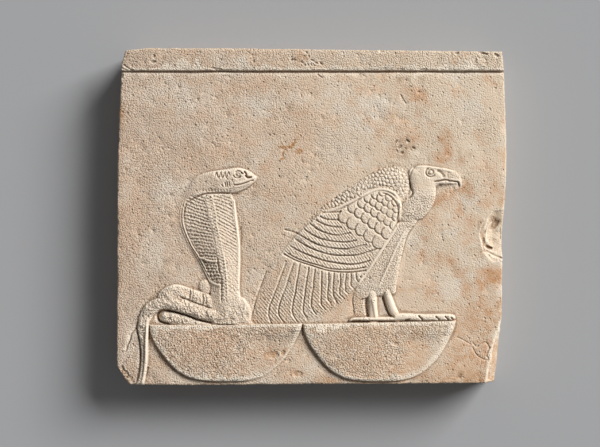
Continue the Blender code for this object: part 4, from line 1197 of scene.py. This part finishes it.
class Paint:
    """A material, with short calls for adding nodes to it and joining them up."""

    def __init__(self, name):
        self.material = bpy.data.materials.new(name)
        self.material.use_nodes = True
        self.shader = self.material.node_tree.nodes["Principled BSDF"]
        self.place = self.node("TexCoord", {}).outputs["Object"]

    def node(self, kind, inputs, **settings):
        made = self.material.node_tree.nodes.new("ShaderNode" + kind)
        for name, setting in settings.items():
            setattr(made, name, setting)
        self.feed(made, inputs)
        return made

    def feed(self, node, inputs):
        """Set a node's inputs, or join them to the outputs given for them."""
        for name, value in inputs.items():
            if isinstance(value, bpy.types.NodeSocket):
                self.material.node_tree.links.new(value, node.inputs[name])
            else:
                node.inputs[name].default_value = value

    def maths(self, operation, first, second=0.0):
        return self.node("Math", {0: first, 1: second}, operation=operation).outputs[0]

    def times(self, first, second):
        return self.maths("MULTIPLY", first, second)

    def plus(self, first, second):
        return self.maths("ADD", first, second)

    def minus(self, first, second):
        return self.maths("SUBTRACT", first, second)

    def shifted(self, shift):
        return self.node("VectorMath", {0: self.place, 1: shift}, operation="ADD").outputs["Vector"]

    def noise(self, size, detail, roughness=0.55, shift=None):
        """Noise from 0 to 1 with lumps of this size in metres."""
        at = self.shifted(shift) if shift else self.place
        values = {"Vector": at, "Scale": 1 / size, "Detail": detail, "Roughness": roughness}
        return self.node("TexNoise", values).outputs[0]

    def ramp(self, value, low, high):
        """From 0 where the value is low to 1 where it is high, eased at both ends."""
        values = {"Value": value, "From Min": low, "From Max": high}
        return self.node("MapRange", values, interpolation_type="SMOOTHSTEP").outputs[0]

    def mix(self, amount, first, second):
        return self.node("Mix", {0: amount, 6: first, 7: second}, data_type="RGBA").outputs[2]

    def attribute(self, name):
        return self.node("Attribute", {}, attribute_name=name).outputs["Fac"]


def colour(red, green, blue):
    """A colour given as it looks on a screen, from 0 to 255."""
    return tuple(((part / 255 + 0.055) / 1.055) ** 2.4 for part in (red, green, blue)) + (1.0,)


def limestone_material():
    """Fine pale limestone: warm and cool mottling, stains, hollows darker with dirt and painted shade, paler
    newly broken stone with a painted highlight along the worn edges, paler raised forms, and painted shade in
    pits and chisel furrows.
    """
    paint = Paint("limestone")
    hollow = paint.attribute("hollow")
    pitted = paint.attribute("pitted")
    raised_paler = paint.attribute("raised")
    furrow = cut_furrow(paint)
    fine_pits = small_pits(paint, 0.0013, 0.36, 0.33, 0.08)
    wide_pits = small_pits(paint, 0.0021, 0.34, 0.27, 0.06)
    pits = paint.times(paint.maths("MAXIMUM", fine_pits, wide_pits), pitted)
    warm = paint.ramp(paint.noise(0.030, 4, 0.6), 0.38, 0.66)
    right = paint.ramp(paint.node("SeparateXYZ", {0: paint.place}).outputs["X"], -0.070, 0.070)
    varied = paint.plus(0.4, paint.times(right, 0.4))
    pale = paint.ramp(paint.noise(0.012, 5, 0.6, (0.2, 0.1, 0)), 0.46, 0.68)
    pale = paint.plus(paint.times(pale, varied), paint.attribute("pale"))
    rosy = paint.ramp(paint.noise(0.008, 5, 0.7, (0.5, 0.3, 0)), 0.50, 0.68)
    blotch = paint.ramp(paint.noise(0.0030, 5, 0.75), 0.36, 0.66)
    flecks = paint.ramp(paint.noise(0.0009, 2, 0.6, (0.1, 0.4, 0)), 0.52, 0.66)
    dark_grain = paint.ramp(paint.noise(0.00050, 1, 0.5), 0.53, 0.66)
    light_grain = paint.ramp(paint.noise(0.00050, 1, 0.5, (0.3, 0.7, 0)), 0.53, 0.66)

    def stain(name):
        amount = paint.times(paint.attribute(name), paint.plus(0.35, paint.times(blotch, 0.9)))
        amount = paint.plus(amount, paint.times(paint.times(amount, flecks), 0.5))
        return paint.maths("MINIMUM", amount, 1.0)

    coats = [
        (warm, 1.0, (203, 174, 149)),
        (right, 0.8, (220, 201, 177)),
        (paint.maths("MINIMUM", pale, 0.9), 1.0, (219, 207, 190)),
        (paint.times(rosy, paint.minus(varied, 0.1)), 1.0, (208, 170, 136)),
        # Newly broken stone is paler; the same layer also paints a highlight along the worn edges of the
        # face, standing in for the light they catch
        (paint.attribute("fresh_break_and_edge_highlight"), 0.7, (222, 201, 175)),
        (stain("ochre"), 1.0, (200, 158, 122)),
        # Stains, and painted shade in the upper break's hollow and crescent
        (stain("brown_stain_and_break_shade"), 1.0, (160, 126, 94)),
        (stain("rust"), 1.0, (182, 134, 88)),
        # The raised forms are painted paler than the ground
        (raised_paler, 0.55, (228, 211, 190)),
        # Painted shade: the pits are darkened, standing in for the shade that the bump alone doesn't cast in
        # them
        (pits, 0.12, (134, 104, 78)),
        (paint.times(dark_grain, paint.minus(pitted, paint.times(raised_paler, 0.3))), 0.5, (140, 110, 84)),
        # Carved recesses darkened, partly as dirt in them and partly as painted shade
        (paint.ramp(hollow, 0.2, 1.3), 0.62, (122, 93, 68)),
        # Painted shade: the chisel furrows are darkened a little
        (furrow, 0.08, (110, 84, 62)),
        (paint.ramp(hollow, -0.1, -0.7), 0.7, (240, 227, 208)),
        (paint.times(light_grain, pitted), 0.55, (242, 230, 212)),
    ]
    stone = colour(199, 177, 156)
    for cover, strength, tint in coats:
        stone = paint.mix(paint.times(cover, strength), stone, colour(*tint))
    lumps = paint.times(paint.noise(0.0022, 3, 0.6), 0.4)
    height = paint.plus(paint.times(paint.noise(0.0009, 2, 0.5), 0.6), lumps)
    height = paint.minus(height, paint.times(fine_pits, 2.6))
    height = paint.minus(height, paint.times(wide_pits, 4.0))
    height = paint.times(height, paint.plus(0.65, paint.times(paint.maths("MINIMUM", pitted, 0.7), 0.85)))
    pocks = paint.ramp(paint.noise(0.00054, 0), 0.26, 0.60)
    pocks = paint.times(pocks, paint.plus(0.1, paint.times(pitted, 2.5)))
    pocks = paint.times(pocks, paint.plus(0.5, paint.noise(0.004, 2, 0.6)))
    height = paint.minus(paint.plus(height, pocks), paint.times(furrow, 0.5))
    bump = paint.node("Bump", {"Strength": 1.0, "Distance": 0.00010, "Height": height})
    paint.feed(paint.shader, {
        "Base Color": stone,
        "Roughness": paint.plus(0.82, paint.times(blotch, 0.12)),
        "Specular IOR Level": 0.25,
        "Normal": bump.outputs["Normal"],
    })
    return paint.material


def cut_furrow(paint):
    """The chisel strokes for the finish, finer than the mesh holds them, in tenths of a millimetre."""
    row = paint.attribute("furrow_row")
    off = paint.maths("DIVIDE", paint.minus(paint.maths("FRACT", row), 0.5), 0.34)
    across = paint.maths("MAXIMUM", paint.minus(1.0, paint.times(off, off)), 0.0)
    part = paint.plus(paint.attribute("furrow_run"), paint.times(paint.maths("FLOOR", row), 0.618))
    part = paint.maths("FRACT", part)
    ends = paint.times(paint.ramp(part, 0.0, 0.2), paint.ramp(part, 1.0, 0.8))
    missing = paint.times(paint.attribute("furrow_gap"), paint.minus(1.0, ends))
    return paint.times(paint.times(across, paint.minus(1.0, missing)), paint.attribute("furrow_depth"))


def small_pits(paint, size, share, rim, floor):
    """Scattered pits about this far apart, 1 on their floor; this share of the places has one."""
    cells = paint.node("TexVoronoi", {"Vector": paint.shifted((size * 7, size * 3, size)), "Scale": 1 / size})
    chance = paint.node("SeparateColor", {"Color": cells.outputs["Color"]}).outputs["Red"]
    present = paint.ramp(chance, 1 - share, 1 - share + 0.1)
    return paint.times(paint.ramp(cells.outputs["Distance"], rim, floor), present)


def floor_material():
    """Plain pale grey."""
    paint = Paint("floor")
    grey = paint.mix(paint.noise(0.4, 2), colour(160, 161, 163), colour(164, 165, 167))
    paint.feed(paint.shader, {"Base Color": grey, "Roughness": 0.95, "Specular IOR Level": 0.1})
    return paint.material


stone_mesh = thinned(build_stone(), np.maximum(figure_mask, fine_parts))
# Painted highlight: the rounded edges of the face get the paler colour of newly broken stone, as if lit
arris = soft_step(edge_rounding(*spread(whole)) / (0.5 * EDGE_ROUND))
mark(stone_mesh, "pitted", pitted, 0.7)
layers = {
    # How far each point lies below the blurred face; the recesses it finds are darkened as dirt and painted
    # shade
    "hollow": (blur(carved_face, 0.0007) - carved_face) / 0.0002,
    # Paler newly broken stone, and a painted highlight along the worn edges
    "fresh_break_and_edge_highlight": np.maximum(broken, arris),
    "raised": raised,
    "furrow_row": furrow_row,
    "furrow_run": furrow_run,
    "furrow_gap": furrow_gap,
    "furrow_depth": furrow_depth * 10000,
    "ochre": stain_or_shade_mask(OCHRE, 211),
    "rust": stain_or_shade_mask(RUST, 221),
    # Stains, with painted shade in the hollow and crescent of the upper break
    "brown_stain_and_break_shade": stain_or_shade_mask(BROWN_AND_BREAK_SHADE, 231),
    "pale": stain_or_shade_mask(PALE, 241),
}
for name, layer in layers.items():
    mark(stone_mesh, name, layer)
stone_mesh.materials.append(limestone_material())
stone_shape = bmesh.new()
stone_shape.from_mesh(stone_mesh)
bmesh.ops.recalc_face_normals(stone_shape, faces=stone_shape.faces)
stone_shape.to_mesh(stone_mesh)
stone_shape.free()
stone_mesh.shade_smooth()
stone = stand("carved_stone", stone_mesh)
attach(stone, "root")
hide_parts("plaque")

floor_shape = bmesh.new()
bmesh.ops.create_grid(floor_shape, x_segments=8, y_segments=8, size=3.0)
floor = stand("floor", mesh_of(floor_shape, "floor"))
floor.data.materials.append(floor_material())

azimuth = math.radians(38)
elevation = math.radians(34)
level_share = math.cos(elevation)
towards = Vector((math.cos(azimuth) * level_share, math.sin(azimuth) * level_share, math.sin(elevation)))
towards.normalize()
lamp = bpy.data.lights.new("main light", "AREA")
lamp.shape = "SQUARE"
lamp.size = 4.2
lamp.energy = 980.0
lamp.color = (1.0, 0.995, 0.985)
lamp_holder = stand("main light", lamp)
lamp_holder.location = towards * 8.0
lamp_holder.rotation_mode = "QUATERNION"
lamp_holder.rotation_quaternion = towards.to_track_quat("Z", "Y")

world = bpy.data.worlds.new("studio")
world.use_nodes = True
world.node_tree.nodes["Background"].inputs["Color"].default_value = (1.0, 1.0, 1.0, 1.0)
world.node_tree.nodes["Background"].inputs["Strength"].default_value = 0.185
bpy.context.scene.world = world

view_width = 0.24
view_middle = (-0.0047, -0.0027)
lens = bpy.data.cameras.new("camera")
lens.lens = 100.0
lens.sensor_width = 36.0
lens.dof.use_dof = False
viewer = stand("camera", lens)
viewer.location = (*view_middle, SLAB_THICKNESS + view_width * lens.lens / lens.sensor_width)
bpy.context.scene.camera = viewer
bpy.context.scene.view_settings.view_transform = "Standard"
